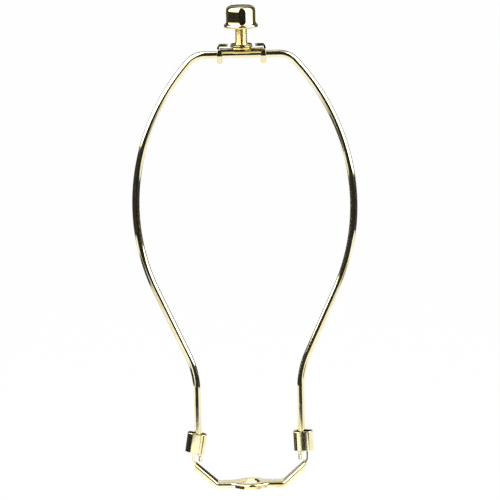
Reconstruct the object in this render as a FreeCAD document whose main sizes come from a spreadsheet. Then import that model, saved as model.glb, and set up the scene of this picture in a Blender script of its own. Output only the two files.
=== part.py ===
"""Lamp harp: a bent wire loop on a pressed saddle, with a threaded stud, a cap finial and two locking ferrules.

The model stands as it does in use: +Z up, the loop in the XZ plane. The origin is the centre of the
saddle's ring hole, on the underside of its web, where the lamp's threaded tube passes through.
"""
import FreeCAD, Part
import math
import os
import Sketcher

SIDES = {"left": -1, "right": 1}
HALF_TURN = "half turn"

doc = FreeCAD.newDocument("lamp_harp")
sheet = doc.addObject("Spreadsheet::Sheet", "Sizes")
places = doc.addObject("App::VarSet", "Places")


# Driving dimensions, in millimetres and degrees.
DIMENSIONS = (
    ("wire_diameter", 3.9, "harp wire"),
    ("top_height", 229.75, "axis of the wire's top run above the origin"),
    ("shoulder_radius", 11.4, "bend at each end of the top run, on the axis"),
    ("top_run_half", 19.5, "centre plane to the start of the bend at each end of the top run"),
    ("belly_radius", 108.6, "long bow of each side below its widest place, on the axis"),
    ("belly_half_width", 57.25, "centre plane to the axis at the widest place"),
    ("belly_height", 149.7, "height of the widest place"),
    ("taper_angle", 24.4, "lean of the straight below the bow, from upright"),
    ("waist_radius", 48.0, "reverse bend above each leg"),
    ("leg_half_spacing", 27.5, "centre plane to a leg's axis"),
    ("foot_gap", 2.46, "clearance under a foot, above the arm beneath it"),
    ("paddle_length", 3.3, "flattened foot at its full width"),
    ("pinch_length", 1.6, "from the foot's full width up to the round leg"),
    ("paddle_thickness", 1.9, "flattened foot, across the loop's plane of bending"),
    ("paddle_width", 6.0, "flattened foot, front to back"),
    ("paddle_offset", 1.0, "shift of the foot towards the middle"),
    ("paddle_edge", 0.5, "easing of the foot's lower end"),
    ("sheet_thickness", 1.0, "saddle's steel strip"),
    ("bore_diameter", 10.3, "saddle's ring hole, for a 1/8 IP threaded tube"),
    ("ring_diameter", 18.0, "saddle's round seat"),
    ("ring_blend", 6.0, "inside curve from the seat into an arm"),
    ("arm_width", 9.0, "arm beside the seat"),
    ("arm_tip_width", 7.4, "arm where its flanges end"),
    ("flange_depth", 2.6, "turned-down edge, from the web's top"),
    ("flange_corner", 1.7, "rounding of a flange's outer lower corner"),
    ("strip_bend", 1.2, "outer bend from web to flange"),
    ("crease_half_spacing", 17.3, "centre plane to the fold between seat and arm"),
    ("crease_radius", 1.4, "that fold, on the web's top"),
    ("arm_angle", 42.0, "rise of an arm"),
    ("prong_bend", 3.5, "bend from arm to prong, on its inner face"),
    ("prong_width", 4.6, "prong, front to back"),
    ("prong_gap", 0.3, "clearance from a leg to its prong"),
    ("prong_length", 10.8, "upright length of a prong above its bend"),
    ("ferrule_width", 10.4, "locking sleeve, across"),
    ("ferrule_depth", 7.3, "locking sleeve, front to back"),
    ("ferrule_height", 10.6, "locking sleeve, along the leg"),
    ("ferrule_wall", 0.8, "locking sleeve's wall"),
    ("ferrule_corner", 3.1, "locking sleeve's outer corners"),
    ("ferrule_lip", 0.3, "easing of the sleeve's ends"),
    ("ferrule_left_shift", 1.25, "left sleeve's middle, outwards from its leg"),
    ("ferrule_left_tilt", 9.5, "left sleeve's lean, top towards the middle"),
    ("ferrule_left_gap", 0.65, "left sleeve's lowest corner above the foot it rests on"),
    ("ferrule_right_shift", 0.85, "right sleeve's middle, outwards from its leg"),
    ("ferrule_right_tilt", 2.0, "right sleeve's lean, top towards the middle"),
    ("ferrule_right_gap", 1.25, "right sleeve's lowest corner above the foot it rests on"),
    ("rest_sheet", 1.2, "shade rest's plate"),
    ("rest_fit", 0.05, "clearance between the shade rest and the wire"),
    ("rest_half_length", 12.8, "centre plane to the outside of a curled end"),
    ("lobe_diameter", 11.3, "shade rest's round middle"),
    ("lobe_blend", 1.5, "inside curve from the round middle into an arm"),
    ("boss_diameter", 10.2, "raised middle that clears the rivet"),
    ("boss_rise", 0.75, "height of the raised middle"),
    ("boss_edge", 0.4, "easing of the raised middle"),
    ("rivet_room_diameter", 7.8, "hollow under the raised middle"),
    ("tongue_width", 3.4, "curled end, front to back"),
    ("tongue_tip_reach", 7.1, "centre plane to the tip of a curled end"),
    ("tongue_tip_round", 1.1, "rounding of the tip in plan"),
    ("claw_width", 2.6, "claw, along the wire"),
    ("claw_drop", 2.6, "claw's end below the wire"),
    ("claw_round", 1.2, "rounding of a claw's end"),
    ("claw_edge", 0.1, "inset of a claw from the curled end"),
    ("rivet_diameter", 6.6, "stud's closed end under the plate"),
    ("rivet_height", 0.6, "stud's closed end"),
    ("pivot_diameter", 4.4, "stud's neck in the plate"),
    ("pivot_clearance", 0.05, "running clearance of the swivel, each side"),
    ("washer_diameter", 11.8, "washer under the stud's flange"),
    ("washer_thickness", 0.8, "washer under the stud's flange"),
    ("washer_bore_clearance", 0.1, "washer's hole around the neck"),
    ("flange_diameter", 11.2, "stud's flange"),
    ("stud_flange_thickness", 0.7, "stud's flange"),
    ("stud_diameter", 6.35, "1/4 inch thread, over its crests"),
    ("stud_length", 11.9, "thread above the flange"),
    ("stud_groove_diameter", 5.4, "relief groove between the shade's thread and the finial's"),
    ("stud_groove_width", 0.6, "relief groove"),
    ("stud_end_length", 3.3, "thread above the groove, which the finial screws on"),
    ("stud_chamfer", 0.5, "easing of the thread's end"),
    ("collar_diameter", 7.0, "swelling at the thread's foot"),
    ("collar_height", 0.6, "swelling at the thread's foot"),
    ("finial_stand", 8.5, "finial's lip above the stud's flange"),
    ("finial_height", 11.6, "finial"),
    ("finial_diameter", 15.6, "finial's barrel"),
    ("finial_lip_diameter", 18.0, "finial's lip"),
    ("finial_lip_radius", 1.0, "roll of the lip"),
    ("finial_flare", 2.0, "inside curve from barrel to lip"),
    ("finial_top_round", 2.9, "corner between barrel and top"),
    ("finial_wall", 0.9, "finial's shell"),
    ("finial_crown", 0.25, "rise of the top at its middle"),
    ("nut_diameter", 9.2, "finial's threaded hub"),
    ("nut_inset", 0.5, "hub's lower end above the lip"),
    ("nut_flange_height", 1.4, "hub's head, held in the shell"),
    ("nut_fit", 0.03, "clearance of the hub's head inside the shell"),
    ("thread_clearance", 0.05, "stud inside the hub, each side"),
)


def fill_sheet() -> None:
    """Writes each driving dimension as plain text in column B, with its name and its note beside it."""
    for row, (alias, value, note) in enumerate(DIMENSIONS, start=1):
        sheet.set(f"A{row}", alias)
        sheet.set(f"B{row}", str(value))
        sheet.setAlias(f"B{row}", alias)
        sheet.set(f"C{row}", note)
    doc.recompute()


def work_out(name: str, expression: str) -> None:
    """Keeps one size or coordinate that follows from the sheet under a name of its own."""
    places.addProperty("App::PropertyFloat", name)
    places.setExpression(name, expression)


def spot(name: str, across: str, up: str) -> None:
    """Names a point of an outline by two expressions, one for each coordinate of its sketch."""
    work_out(name + "_u", across)
    work_out(name + "_v", up)


def wire_places() -> None:
    """Works out where the straights and arcs of the wire's axis meet, each tangent to the next."""
    work_out("wire_radius", "Sizes.wire_diameter / 2")
    work_out("belly_centre", "Sizes.belly_half_width - Sizes.belly_radius")
    work_out("shoulder_rise", "Sizes.top_height - Sizes.shoulder_radius - Sizes.belly_height")
    work_out("shoulder_inset", "Sizes.belly_half_width - Sizes.top_run_half")
    work_out("bow_radius", "(shoulder_inset * shoulder_inset + shoulder_rise * shoulder_rise"
             " - Sizes.shoulder_radius * Sizes.shoulder_radius) / (2 * (shoulder_inset - Sizes.shoulder_radius))")
    work_out("bow_centre", "Sizes.belly_half_width - bow_radius")
    work_out("bow_share", "bow_radius / (bow_radius - Sizes.shoulder_radius)")
    spot("wire_top", "0", "Sizes.top_height")
    spot("shoulder_start", "Sizes.top_run_half", "Sizes.top_height")
    spot("shoulder_end", "bow_centre + (Sizes.top_run_half - bow_centre) * bow_share",
         "Sizes.belly_height + shoulder_rise * bow_share")
    spot("widest", "Sizes.belly_half_width", "Sizes.belly_height")
    spot("taper_start", "belly_centre + Sizes.belly_radius * cos(Sizes.taper_angle)",
         "Sizes.belly_height - Sizes.belly_radius * sin(Sizes.taper_angle)")
    work_out("waist_across", "Sizes.leg_half_spacing + Sizes.waist_radius")
    work_out("waist_up", "taper_start_v + ((waist_across - taper_start_u) * cos(Sizes.taper_angle)"
             " - Sizes.waist_radius) / sin(Sizes.taper_angle)")
    spot("taper_end", "waist_across - Sizes.waist_radius * cos(Sizes.taper_angle)",
         "waist_up + Sizes.waist_radius * sin(Sizes.taper_angle)")
    spot("leg_top", "Sizes.leg_half_spacing", "waist_up")
    spot("leg_end", "Sizes.leg_half_spacing", "paddle_top + Sizes.pinch_length")


def foot_places() -> None:
    """Works out the round section at the end of a leg and the flattened section of its foot."""
    work_out("leg_chord", "wire_radius * cos(60)")
    work_out("leg_rise", "wire_radius * sin(60)")
    work_out("foot_across", "Sizes.leg_half_spacing - Sizes.paddle_offset")
    work_out("foot_half", "Sizes.paddle_thickness / 2")
    work_out("paddle_end", "Sizes.sheet_thickness + Sizes.foot_gap"
             " + (foot_across + foot_half - Sizes.crease_half_spacing) * tan(Sizes.arm_angle)")
    work_out("paddle_top", "paddle_end + Sizes.paddle_length")
    work_out("foot_flat", "Sizes.paddle_width / 2 - foot_half")
    for name, across, up in (("leg", "Sizes.leg_half_spacing", "leg_rise"), ("foot", "foot_across", "foot_flat")):
        half = "leg_chord" if name == "leg" else "foot_half"
        spot(f"{name}_a", f"{across} + {half}", f"{up}")
        spot(f"{name}_b", f"{across} - {half}", f"{up}")
        spot(f"{name}_c", f"{across} - {half}", f"-{up}")
        spot(f"{name}_d", f"{across} + {half}", f"-{up}")


def saddle_places() -> None:
    """Works out the saddle's side view, layer by layer below the web's top, and its plan."""
    work_out("crease_setback", "Sizes.crease_radius * tan(Sizes.arm_angle / 2)")
    work_out("crease_across", "Sizes.crease_half_spacing - crease_setback")
    work_out("crease_up", "Sizes.sheet_thickness + Sizes.crease_radius")
    work_out("prong_inner", "Sizes.leg_half_spacing + wire_radius + Sizes.prong_gap")
    work_out("bend_across", "prong_inner - Sizes.prong_bend")
    work_out("bend_up", "Sizes.sheet_thickness + (Sizes.prong_bend"
             " + sin(Sizes.arm_angle) * (bend_across - Sizes.crease_half_spacing)) / cos(Sizes.arm_angle)")
    for name, depth in (("top", "0"), ("under", "Sizes.sheet_thickness"), ("edge", "Sizes.flange_depth"),
                        ("clear", "2 * Sizes.flange_depth")):
        work_out(f"{name}_fold", f"Sizes.crease_radius + {depth}")
        work_out(f"{name}_turn", f"Sizes.prong_bend + {depth}")
        spot(f"{name}_fold_start", "crease_across", f"Sizes.sheet_thickness - {depth}")
        spot(f"{name}_fold_end", f"crease_across + {name}_fold * sin(Sizes.arm_angle)",
             f"crease_up - {name}_fold * cos(Sizes.arm_angle)")
        spot(f"{name}_arm_end", f"bend_across + {name}_turn * sin(Sizes.arm_angle)",
             f"bend_up - {name}_turn * cos(Sizes.arm_angle)")
    work_out("prong_outer", "prong_inner + Sizes.sheet_thickness")
    work_out("prong_root", "2 * Sizes.sheet_thickness")
    for name, across in (("top", "prong_inner"), ("under", "prong_outer")):
        spot(f"{name}_root", f"{name}_arm_end_u - prong_root * cos(Sizes.arm_angle)",
             f"{name}_arm_end_v - prong_root * sin(Sizes.arm_angle)")
        spot(f"{name}_bend_end", across, "bend_up")
        spot(f"{name}_prong_top", across, "bend_up + Sizes.prong_length")
    work_out("hollow_end", "Sizes.flange_depth")
    for name in ("under", "clear"):
        spot(f"{name}_run_out", f"{name}_arm_end_u + hollow_end * cos(Sizes.arm_angle)",
             f"{name}_arm_end_v + hollow_end * sin(Sizes.arm_angle)")
    work_out("plan_end", "edge_arm_end_u + hollow_end")
    work_out("plan_far", "plan_end + hollow_end")
    for name, inset in (("outer", "0"), ("inner", "Sizes.sheet_thickness")):
        work_out(f"{name}_ring", f"Sizes.ring_diameter / 2 - {inset}")
        work_out(f"{name}_blend", f"Sizes.ring_blend + {inset}")
        work_out(f"{name}_half", f"Sizes.arm_width / 2 - {inset}")
        work_out(f"{name}_tip", f"Sizes.arm_tip_width / 2 - {inset}")
        work_out(f"{name}_blend_up", f"{name}_half + {name}_blend")
        work_out(f"{name}_reach", f"{name}_ring + {name}_blend")
        work_out(f"{name}_blend_across", f"sqrt({name}_reach * {name}_reach - {name}_blend_up * {name}_blend_up)")
        spot(f"{name}_ring_touch", f"{name}_blend_across * {name}_ring / {name}_reach",
             f"{name}_blend_up * {name}_ring / {name}_reach")
        spot(f"{name}_arm_touch", f"{name}_blend_across", f"{name}_half")
        spot(f"{name}_arm_fold", "Sizes.crease_half_spacing", f"{name}_half")
        spot(f"{name}_arm_tip", "edge_arm_end_u", f"{name}_tip")
        spot(f"{name}_plan_end", "plan_end", f"{name}_tip")


def ferrule_places() -> None:
    """Works out the sleeve's rounded outline, outside and inside, and the height at which it rests."""
    for name, inset in (("sleeve", "0"), ("bore", "Sizes.ferrule_wall")):
        work_out(f"{name}_half_u", f"Sizes.ferrule_width / 2 - {inset}")
        work_out(f"{name}_half_v", f"Sizes.ferrule_depth / 2 - {inset}")
        work_out(f"{name}_round", f"Sizes.ferrule_corner - {inset}")
        spot(f"{name}_side", f"{name}_half_u", f"{name}_half_v - {name}_round")
        spot(f"{name}_face", f"{name}_half_u - {name}_round", f"{name}_half_v")
    for name in SIDES:
        work_out(f"{name}_sleeve_rise", f"paddle_top + Sizes.ferrule_{name}_gap"
                 f" + Sizes.ferrule_height / 2 * cos(Sizes.ferrule_{name}_tilt)"
                 f" + Sizes.ferrule_width / 2 * sin(Sizes.ferrule_{name}_tilt)")


def rest_places() -> None:
    """Works out the shade rest's plan, its curled ends and its claws, from the wire that it clasps."""
    work_out("plate_under", "Sizes.top_height + wire_radius + Sizes.rest_fit")
    work_out("plate_top", "plate_under + Sizes.rest_sheet")
    work_out("boss_top", "plate_top + Sizes.boss_rise")
    work_out("washer_under", "boss_top + Sizes.pivot_clearance")
    work_out("washer_top", "washer_under + Sizes.washer_thickness")
    work_out("stud_flange_under", "washer_top + Sizes.pivot_clearance")
    work_out("stud_flange_top", "stud_flange_under + Sizes.stud_flange_thickness")
    work_out("claw_inner", "wire_radius + Sizes.rest_fit")
    work_out("claw_outer", "claw_inner + Sizes.rest_sheet")
    work_out("claw_end", "Sizes.top_height - wire_radius - Sizes.claw_drop")
    work_out("curl_outer", "(stud_flange_top - plate_under) / 2")
    work_out("curl_inner", "curl_outer - Sizes.rest_sheet")
    work_out("curl_across", "Sizes.rest_half_length - curl_outer")
    work_out("curl_root", "curl_across - 2 * Sizes.rest_sheet")
    spot("curl_a", "curl_root", "plate_under")
    spot("curl_b", "curl_across", "plate_under")
    spot("curl_c", "curl_across", "stud_flange_top")
    spot("curl_d", "Sizes.tongue_tip_reach", "stud_flange_top")
    spot("curl_e", "Sizes.tongue_tip_reach", "stud_flange_top - Sizes.rest_sheet")
    spot("curl_f", "curl_across", "stud_flange_top - Sizes.rest_sheet")
    spot("curl_g", "curl_across", "plate_top")
    spot("curl_h", "curl_root", "plate_top")
    work_out("claw_far", "Sizes.rest_half_length - Sizes.claw_edge")
    work_out("claw_near", "claw_far - Sizes.claw_width")
    spot("claw_a", "claw_inner", "plate_top")
    spot("claw_c", "claw_outer", "plate_top - Sizes.rest_sheet")
    spot("claw_d", "claw_outer", "claw_end")
    spot("claw_e", "claw_inner", "claw_end")
    work_out("lobe_radius", "Sizes.lobe_diameter / 2")
    work_out("lobe_reach", "lobe_radius + Sizes.lobe_blend")
    work_out("lobe_blend_up", "claw_outer + Sizes.lobe_blend")
    work_out("lobe_blend_across", "sqrt(lobe_reach * lobe_reach - lobe_blend_up * lobe_blend_up)")
    spot("lobe_touch", "lobe_blend_across * lobe_radius / lobe_reach", "lobe_blend_up * lobe_radius / lobe_reach")
    spot("lobe_arm", "lobe_blend_across", "claw_outer")
    spot("plate_corner", "curl_across", "claw_outer")


def stud_places() -> None:
    """Works out the half section of the swivel stud, from its riveted end to its threaded tip."""
    work_out("pivot_radius", "Sizes.pivot_diameter / 2")
    work_out("rivet_top", "boss_top - Sizes.rest_sheet - Sizes.pivot_clearance")
    work_out("rivet_under", "rivet_top - Sizes.rivet_height")
    work_out("stud_top", "stud_flange_top + Sizes.stud_length")
    work_out("stud_radius", "Sizes.stud_diameter / 2")
    spot("stud_a", "0", "rivet_under")
    spot("stud_b", "Sizes.rivet_diameter / 2", "rivet_under")
    spot("stud_c", "Sizes.rivet_diameter / 2", "rivet_top")
    spot("stud_d", "pivot_radius", "rivet_top")
    spot("stud_e", "pivot_radius", "stud_flange_under")
    spot("stud_f", "Sizes.flange_diameter / 2", "stud_flange_under")
    spot("stud_g", "Sizes.flange_diameter / 2", "stud_flange_top")
    spot("stud_h", "Sizes.collar_diameter / 2", "stud_flange_top")
    spot("stud_j", "stud_radius", "stud_flange_top + Sizes.collar_height")
    work_out("groove_top", "stud_top - Sizes.stud_end_length")
    work_out("groove_under", "groove_top - Sizes.stud_groove_width")
    spot("stud_k", "stud_radius", "groove_under")
    spot("stud_l", "Sizes.stud_groove_diameter / 2", "groove_under")
    spot("stud_m", "Sizes.stud_groove_diameter / 2", "groove_top")
    spot("stud_n", "stud_radius", "groove_top")
    spot("stud_o", "stud_radius", "stud_top - Sizes.stud_chamfer")
    spot("stud_p", "stud_radius - Sizes.stud_chamfer", "stud_top")
    spot("stud_q", "0", "stud_top")


def finial_places() -> None:
    """Works out the finial's shell, with its flared lip and rounded top, and the threaded hub inside it."""
    work_out("lip_under", "stud_flange_top + Sizes.finial_stand")
    work_out("shell_top", "lip_under + Sizes.finial_height")
    work_out("barrel", "Sizes.finial_diameter / 2")
    work_out("barrel_inner", "barrel - Sizes.finial_wall")
    work_out("lip_across", "Sizes.finial_lip_diameter / 2 - Sizes.finial_lip_radius")
    work_out("flare_reach", "Sizes.finial_flare + Sizes.finial_lip_radius")
    work_out("flare_run", "barrel + Sizes.finial_flare - lip_across")
    work_out("flare_rise", "sqrt(flare_reach * flare_reach - flare_run * flare_run)")
    work_out("flare_up", "lip_under + Sizes.finial_lip_radius + flare_rise")
    work_out("lip_up", "lip_under + Sizes.finial_lip_radius")
    work_out("flare_angle", "atan2(flare_rise; flare_run)")
    work_out("top_round_across", "barrel - Sizes.finial_top_round")
    work_out("top_round_up", "shell_top - Sizes.finial_top_round")
    spot("shell_a", "barrel_inner", "lip_under")
    spot("shell_b", "lip_across", "lip_under")
    spot("shell_c", "lip_across + Sizes.finial_lip_radius * sin(45)", "lip_up - Sizes.finial_lip_radius * cos(45)")
    spot("shell_d", "lip_across + Sizes.finial_lip_radius", "lip_up")
    spot("shell_e", "lip_across + Sizes.finial_lip_radius * cos(flare_angle)",
         "lip_up + Sizes.finial_lip_radius * sin(flare_angle)")
    spot("shell_f", "barrel + Sizes.finial_flare * (1 - cos(flare_angle / 2))",
         "flare_up - Sizes.finial_flare * sin(flare_angle / 2)")
    spot("shell_g", "barrel", "flare_up")
    for number, letter in enumerate("hijk"):
        turn = 30 * number
        spot(f"shell_{letter}", f"top_round_across + Sizes.finial_top_round * cos({turn})",
             f"top_round_up + Sizes.finial_top_round * sin({turn})")
    spot("shell_l", "0", "shell_top + Sizes.finial_crown")
    spot("shell_m", "0", "shell_top - Sizes.finial_wall")
    spot("shell_n", "top_round_across", "shell_top - Sizes.finial_wall")
    spot("shell_o", "barrel_inner", "top_round_up")
    work_out("hub_bore", "stud_radius + Sizes.thread_clearance")
    work_out("hub_under", "lip_under + Sizes.nut_inset")
    work_out("hub_top", "top_round_up - Sizes.nut_fit")
    work_out("hub_head_under", "hub_top - Sizes.nut_flange_height")
    work_out("hub_head", "barrel_inner - Sizes.nut_fit")
    spot("hub_a", "hub_bore", "hub_under")
    spot("hub_b", "Sizes.nut_diameter / 2", "hub_under")
    spot("hub_c", "Sizes.nut_diameter / 2", "hub_head_under")
    spot("hub_d", "hub_head", "hub_head_under")
    spot("hub_e", "hub_head", "hub_top")
    spot("hub_f", "hub_bore", "hub_top")


def origin_plane(body, role: str):
    """Finds one of a body's own origin planes."""
    return next(feature for feature in body.Origin.OriginFeatures if feature.Role == role)


def new_body(name: str):
    """Starts the body of one piece."""
    body = doc.addObject("PartDesign::Body", name)
    body.Label = name
    return body


def new_sketch(body, name: str, role: str, height: str = ""):
    """Starts a sketch on one of the body's planes, lifted along its normal by an expression if one is given."""
    sketch = body.newObject("Sketcher::SketchObject", name)
    sketch.AttachmentSupport = [(origin_plane(body, role), "")]
    sketch.MapMode = "FlatFace"
    if height:
        sketch.setExpression("AttachmentOffset.Base.z", height)
    return sketch


def vertex(mark: str):
    """Reads a named point. A leading < mirrors it across, a leading _ mirrors it down, in that order."""
    across = -1 if mark.startswith("<") else 1
    mark = mark.lstrip("<")
    up = -1 if mark.startswith("_") else 1
    mark = mark.lstrip("_")
    point = FreeCAD.Vector(across * getattr(places, mark + "_u"), up * getattr(places, mark + "_v"), 0)
    signs = ("-" if across < 0 else "", "-" if up < 0 else "")
    return point, signs, mark


def arc(mark: str, radius_name: str, bulge: int):
    """Names a stop from which an arc leads to the next one, anticlockwise where bulge is 1."""
    return (mark, radius_name, bulge)


def straight(mark: str):
    """Names a stop from which a line leads to the next one."""
    return (mark, "", 0)


def mirrored(stops, sides: str):
    """Runs back through a chain of stops on another side, so that each arc keeps the way it turns."""
    return [(sides + stops[number][0], *(stops[number - 1][1:] if number else ("", 0)))
            for number in reversed(range(len(stops)))]


def turned(stops, sides: str):
    """Repeats a chain of stops, turned half round."""
    return [(sides + mark, radius_name, bulge) for mark, radius_name, bulge in stops]


def all_round(quarter):
    """Completes an outline from its quarter at the upper right, in four quarters anticlockwise."""
    return quarter + mirrored(quarter, "<") + turned(quarter, "<_") + mirrored(quarter, "_")


def arc_between(start, end, radius: float, bulge: int):
    """Makes the arc of a radius from start to end; bulge is 1 where it runs anticlockwise, -1 clockwise."""
    chord = end - start
    middle = (start + end) / 2
    rise = math.sqrt(max(radius * radius - chord.Length * chord.Length / 4, 0.0))
    normal = FreeCAD.Vector(-chord.y, chord.x, 0).normalize()
    centre = middle + normal * rise * bulge
    circle = Part.Circle(centre, FreeCAD.Vector(0, 0, 1), radius)
    first, last = (start, end) if bulge > 0 else (end, start)
    first_angle = math.atan2(first.y - centre.y, first.x - centre.x)
    last_angle = math.atan2(last.y - centre.y, last.x - centre.x)
    return Part.ArcOfCircle(circle, first_angle, last_angle)


def bind(sketch, constraint, expression: str) -> None:
    """Adds a constraint and ties its value to an expression."""
    index = sketch.addConstraint(constraint)
    sketch.setExpression(f"Constraints[{index}]", expression)


def pin_point(sketch, geometry: int, end: int, mark: str) -> None:
    """Ties one end of a line or arc to a named point."""
    point, signs, name = vertex(mark)
    bind(sketch, Sketcher.Constraint("DistanceX", -1, 1, geometry, end, point.x), f"{signs[0]}Places.{name}_u")
    bind(sketch, Sketcher.Constraint("DistanceY", -1, 1, geometry, end, point.y), f"{signs[1]}Places.{name}_v")


def pin_centre(sketch, geometry: int, first_mark: str, last_mark: str) -> None:
    """Ties the centre of a half circle level with its ends, which stand above or beside each other."""
    first, signs, name = vertex(first_mark)
    last = vertex(last_mark)[0]
    if near(first.x, last.x):
        bind(sketch, Sketcher.Constraint("DistanceX", -1, 1, geometry, 3, first.x), f"{signs[0]}Places.{name}_u")
    else:
        bind(sketch, Sketcher.Constraint("DistanceY", -1, 1, geometry, 3, first.y), f"{signs[1]}Places.{name}_v")


def draw(sketch, stops, closed: bool = True) -> None:
    """Draws a chain of lines and arcs through named stops and ties every one to its place.

    The first end of each stretch is tied to its stop, and each stretch meets the next one end to end.
    """
    stretches = len(stops) if closed else len(stops) - 1
    ends = []
    for number in range(stretches):
        mark, radius_name, bulge = stops[number]
        following = stops[(number + 1) % len(stops)][0]
        start, end = vertex(mark)[0], vertex(following)[0]
        if not radius_name:
            index = sketch.addGeometry(Part.LineSegment(start, end))
            ends.append((index, 1, 2))
            continue
        radius = (end - start).Length / 2 if radius_name == HALF_TURN else read_size(radius_name)
        index = sketch.addGeometry(arc_between(start, end, radius, bulge))
        ends.append((index, 1, 2) if bulge > 0 else (index, 2, 1))
    for number, (index, first, last) in enumerate(ends):
        mark, radius_name, bulge = stops[number]
        pin_point(sketch, index, first, mark)
        if number + 1 < len(ends) or closed:
            following = ends[(number + 1) % len(ends)]
            sketch.addConstraint(Sketcher.Constraint("Coincident", index, last, following[0], following[1]))
        else:
            pin_point(sketch, index, last, stops[-1][0])
        if radius_name == HALF_TURN:
            pin_centre(sketch, index, mark, stops[(number + 1) % len(stops)][0])
        elif radius_name:
            bind(sketch, Sketcher.Constraint("Radius", index, read_size(radius_name)), source_of(radius_name))


def read_size(name: str) -> float:
    """Reads a size from the worked-out places, or else from the sheet."""
    return float(getattr(places, name) if hasattr(places, name) else sheet.get(name))


def source_of(name: str) -> str:
    """Gives the expression that names a size where it is kept."""
    return f"Places.{name}" if hasattr(places, name) else f"Sizes.{name}"


def draw_circle(sketch, radius_name: str, across: str = "") -> None:
    """Draws a circle on the sketch's own origin, or on its upright axis line at a named height."""
    up = read_size(across) if across else 0.0
    index = sketch.addGeometry(Part.Circle(FreeCAD.Vector(0, up, 0), FreeCAD.Vector(0, 0, 1), read_size(radius_name)))
    if across:
        sketch.addConstraint(Sketcher.Constraint("PointOnObject", index, 3, -2))
        bind(sketch, Sketcher.Constraint("DistanceY", -1, 1, index, 3, up), source_of(across))
    else:
        sketch.addConstraint(Sketcher.Constraint("Coincident", index, 3, -1, 1))
    bind(sketch, Sketcher.Constraint("Radius", index, read_size(radius_name)), source_of(radius_name))


def add_pad(body, name: str, sketch, length: str, midplane: bool = False, reverse: bool = False):
    """Pads a sketch by an expression."""
    pad = body.newObject("PartDesign::Pad", name)
    pad.Profile = sketch
    pad.setExpression("Length", length)
    pad.Midplane = midplane
    pad.Reversed = reverse
    doc.recompute()
    return pad


def add_mirror(body, name: str, originals, role: str):
    """Repeats features on the other side of one of the body's planes."""
    mirror = body.newObject("PartDesign::Mirrored", name)
    mirror.Originals = originals
    mirror.MirrorPlane = (origin_plane(body, role), [""])
    body.Tip = mirror
    doc.recompute()
    return mirror


def ease_edges(body, name: str, base, wanted, size: str, kind: str = "Fillet"):
    """Rounds, or else chamfers, the base feature's edges that a test on each edge picks."""
    names = [f"Edge{number}" for number, edge in enumerate(base.Shape.Edges, start=1) if wanted(edge)]
    eased = body.newObject(f"PartDesign::{kind}", name)
    eased.Base = (base, names)
    eased.setExpression("Radius" if kind == "Fillet" else "Size", size)
    doc.recompute()
    return eased


def middle_of(edge):
    """Gives the point half way along an edge."""
    return edge.valueAt((edge.FirstParameter + edge.LastParameter) / 2)


def near(value: float, target: float) -> bool:
    """Says whether two lengths are the same to a thousandth of a millimetre."""
    return abs(value - target) < 1e-3


def make_harp_wire():
    """One length of round wire: half is swept from the middle of the top down a leg, its end is flattened
    into a foot, and the other half mirrors it."""
    body = new_body("harp_wire")
    route = new_sketch(body, "wire_axis", "XZ_Plane")
    draw(route, [straight("wire_top"), arc("shoulder_start", "shoulder_radius", -1),
                 arc("shoulder_end", "bow_radius", -1), arc("widest", "belly_radius", -1), straight("taper_start"),
                 arc("taper_end", "waist_radius", 1), straight("leg_top"), straight("leg_end")], closed=False)
    section = new_sketch(body, "wire_section", "YZ_Plane")
    draw_circle(section, "wire_radius", across="wire_top_v")
    doc.recompute()
    bow = body.newObject("PartDesign::AdditivePipe", "wire_bow")
    bow.Profile = section
    bow.Spine = route
    doc.recompute()
    round_end = new_sketch(body, "leg_section", "XY_Plane", "Places.leg_end_v")
    draw(round_end, [arc(f"leg_{letter}", "wire_radius", 1) for letter in "abcd"])
    flat_end = new_sketch(body, "foot_section", "XY_Plane", "Places.paddle_top")
    draw(flat_end, [arc("foot_a", HALF_TURN, 1), straight("foot_b"), arc("foot_c", HALF_TURN, 1), straight("foot_d")])
    doc.recompute()
    pinch = body.newObject("PartDesign::AdditiveLoft", "foot_pinch")
    pinch.Profile = round_end
    pinch.Sections = [flat_end]
    doc.recompute()
    paddle = add_pad(body, "foot_paddle", flat_end, "Sizes.paddle_length", reverse=True)
    both = add_mirror(body, "other_half", [bow, pinch, paddle], "YZ_Plane")
    ease_edges(body, "foot_ends", both, lambda edge: near(middle_of(edge).z, places.paddle_end),
               "Sizes.paddle_edge", "Chamfer")
    return body


def make_saddle_blank(name: str, layer: str, plan: str):
    """Makes the part of a strip below one layer of the side view and inside one outline of the plan.

    The side view is padded from front to back, and the plan then cuts away all that lies outside it.
    """
    body = new_body(name)
    side = new_sketch(body, name + "_side", "XZ_Plane")
    lower = "edge" if layer == "top" else "clear"
    end = "arm_end" if layer == "top" else "run_out"
    right = [arc(f"{layer}_fold_start", f"{layer}_fold", 1), straight(f"{layer}_fold_end"),
             straight(f"{layer}_{end}"), straight(f"{lower}_{end}"),
             arc(f"{lower}_fold_end", f"{lower}_fold", -1), straight(f"{lower}_fold_start")]
    draw(side, right + mirrored(right, "<"))
    doc.recompute()
    slab = add_pad(body, name + "_slab", side, "2 * Sizes.ring_diameter", midplane=True)
    outline = new_sketch(body, name + "_plan", "XY_Plane")
    draw(outline, all_round([straight(f"{plan}_plan_end"), straight(f"{plan}_arm_tip"), straight(f"{plan}_arm_fold"),
                             arc(f"{plan}_arm_touch", f"{plan}_blend", -1),
                             arc(f"{plan}_ring_touch", f"{plan}_ring", 1)]))
    draw_frame(outline)
    doc.recompute()
    trim = body.newObject("PartDesign::Pocket", name + "_trim")
    trim.Profile = outline
    trim.Type = "ThroughAll"
    trim.Midplane = True
    doc.recompute()
    return body, trim


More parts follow.
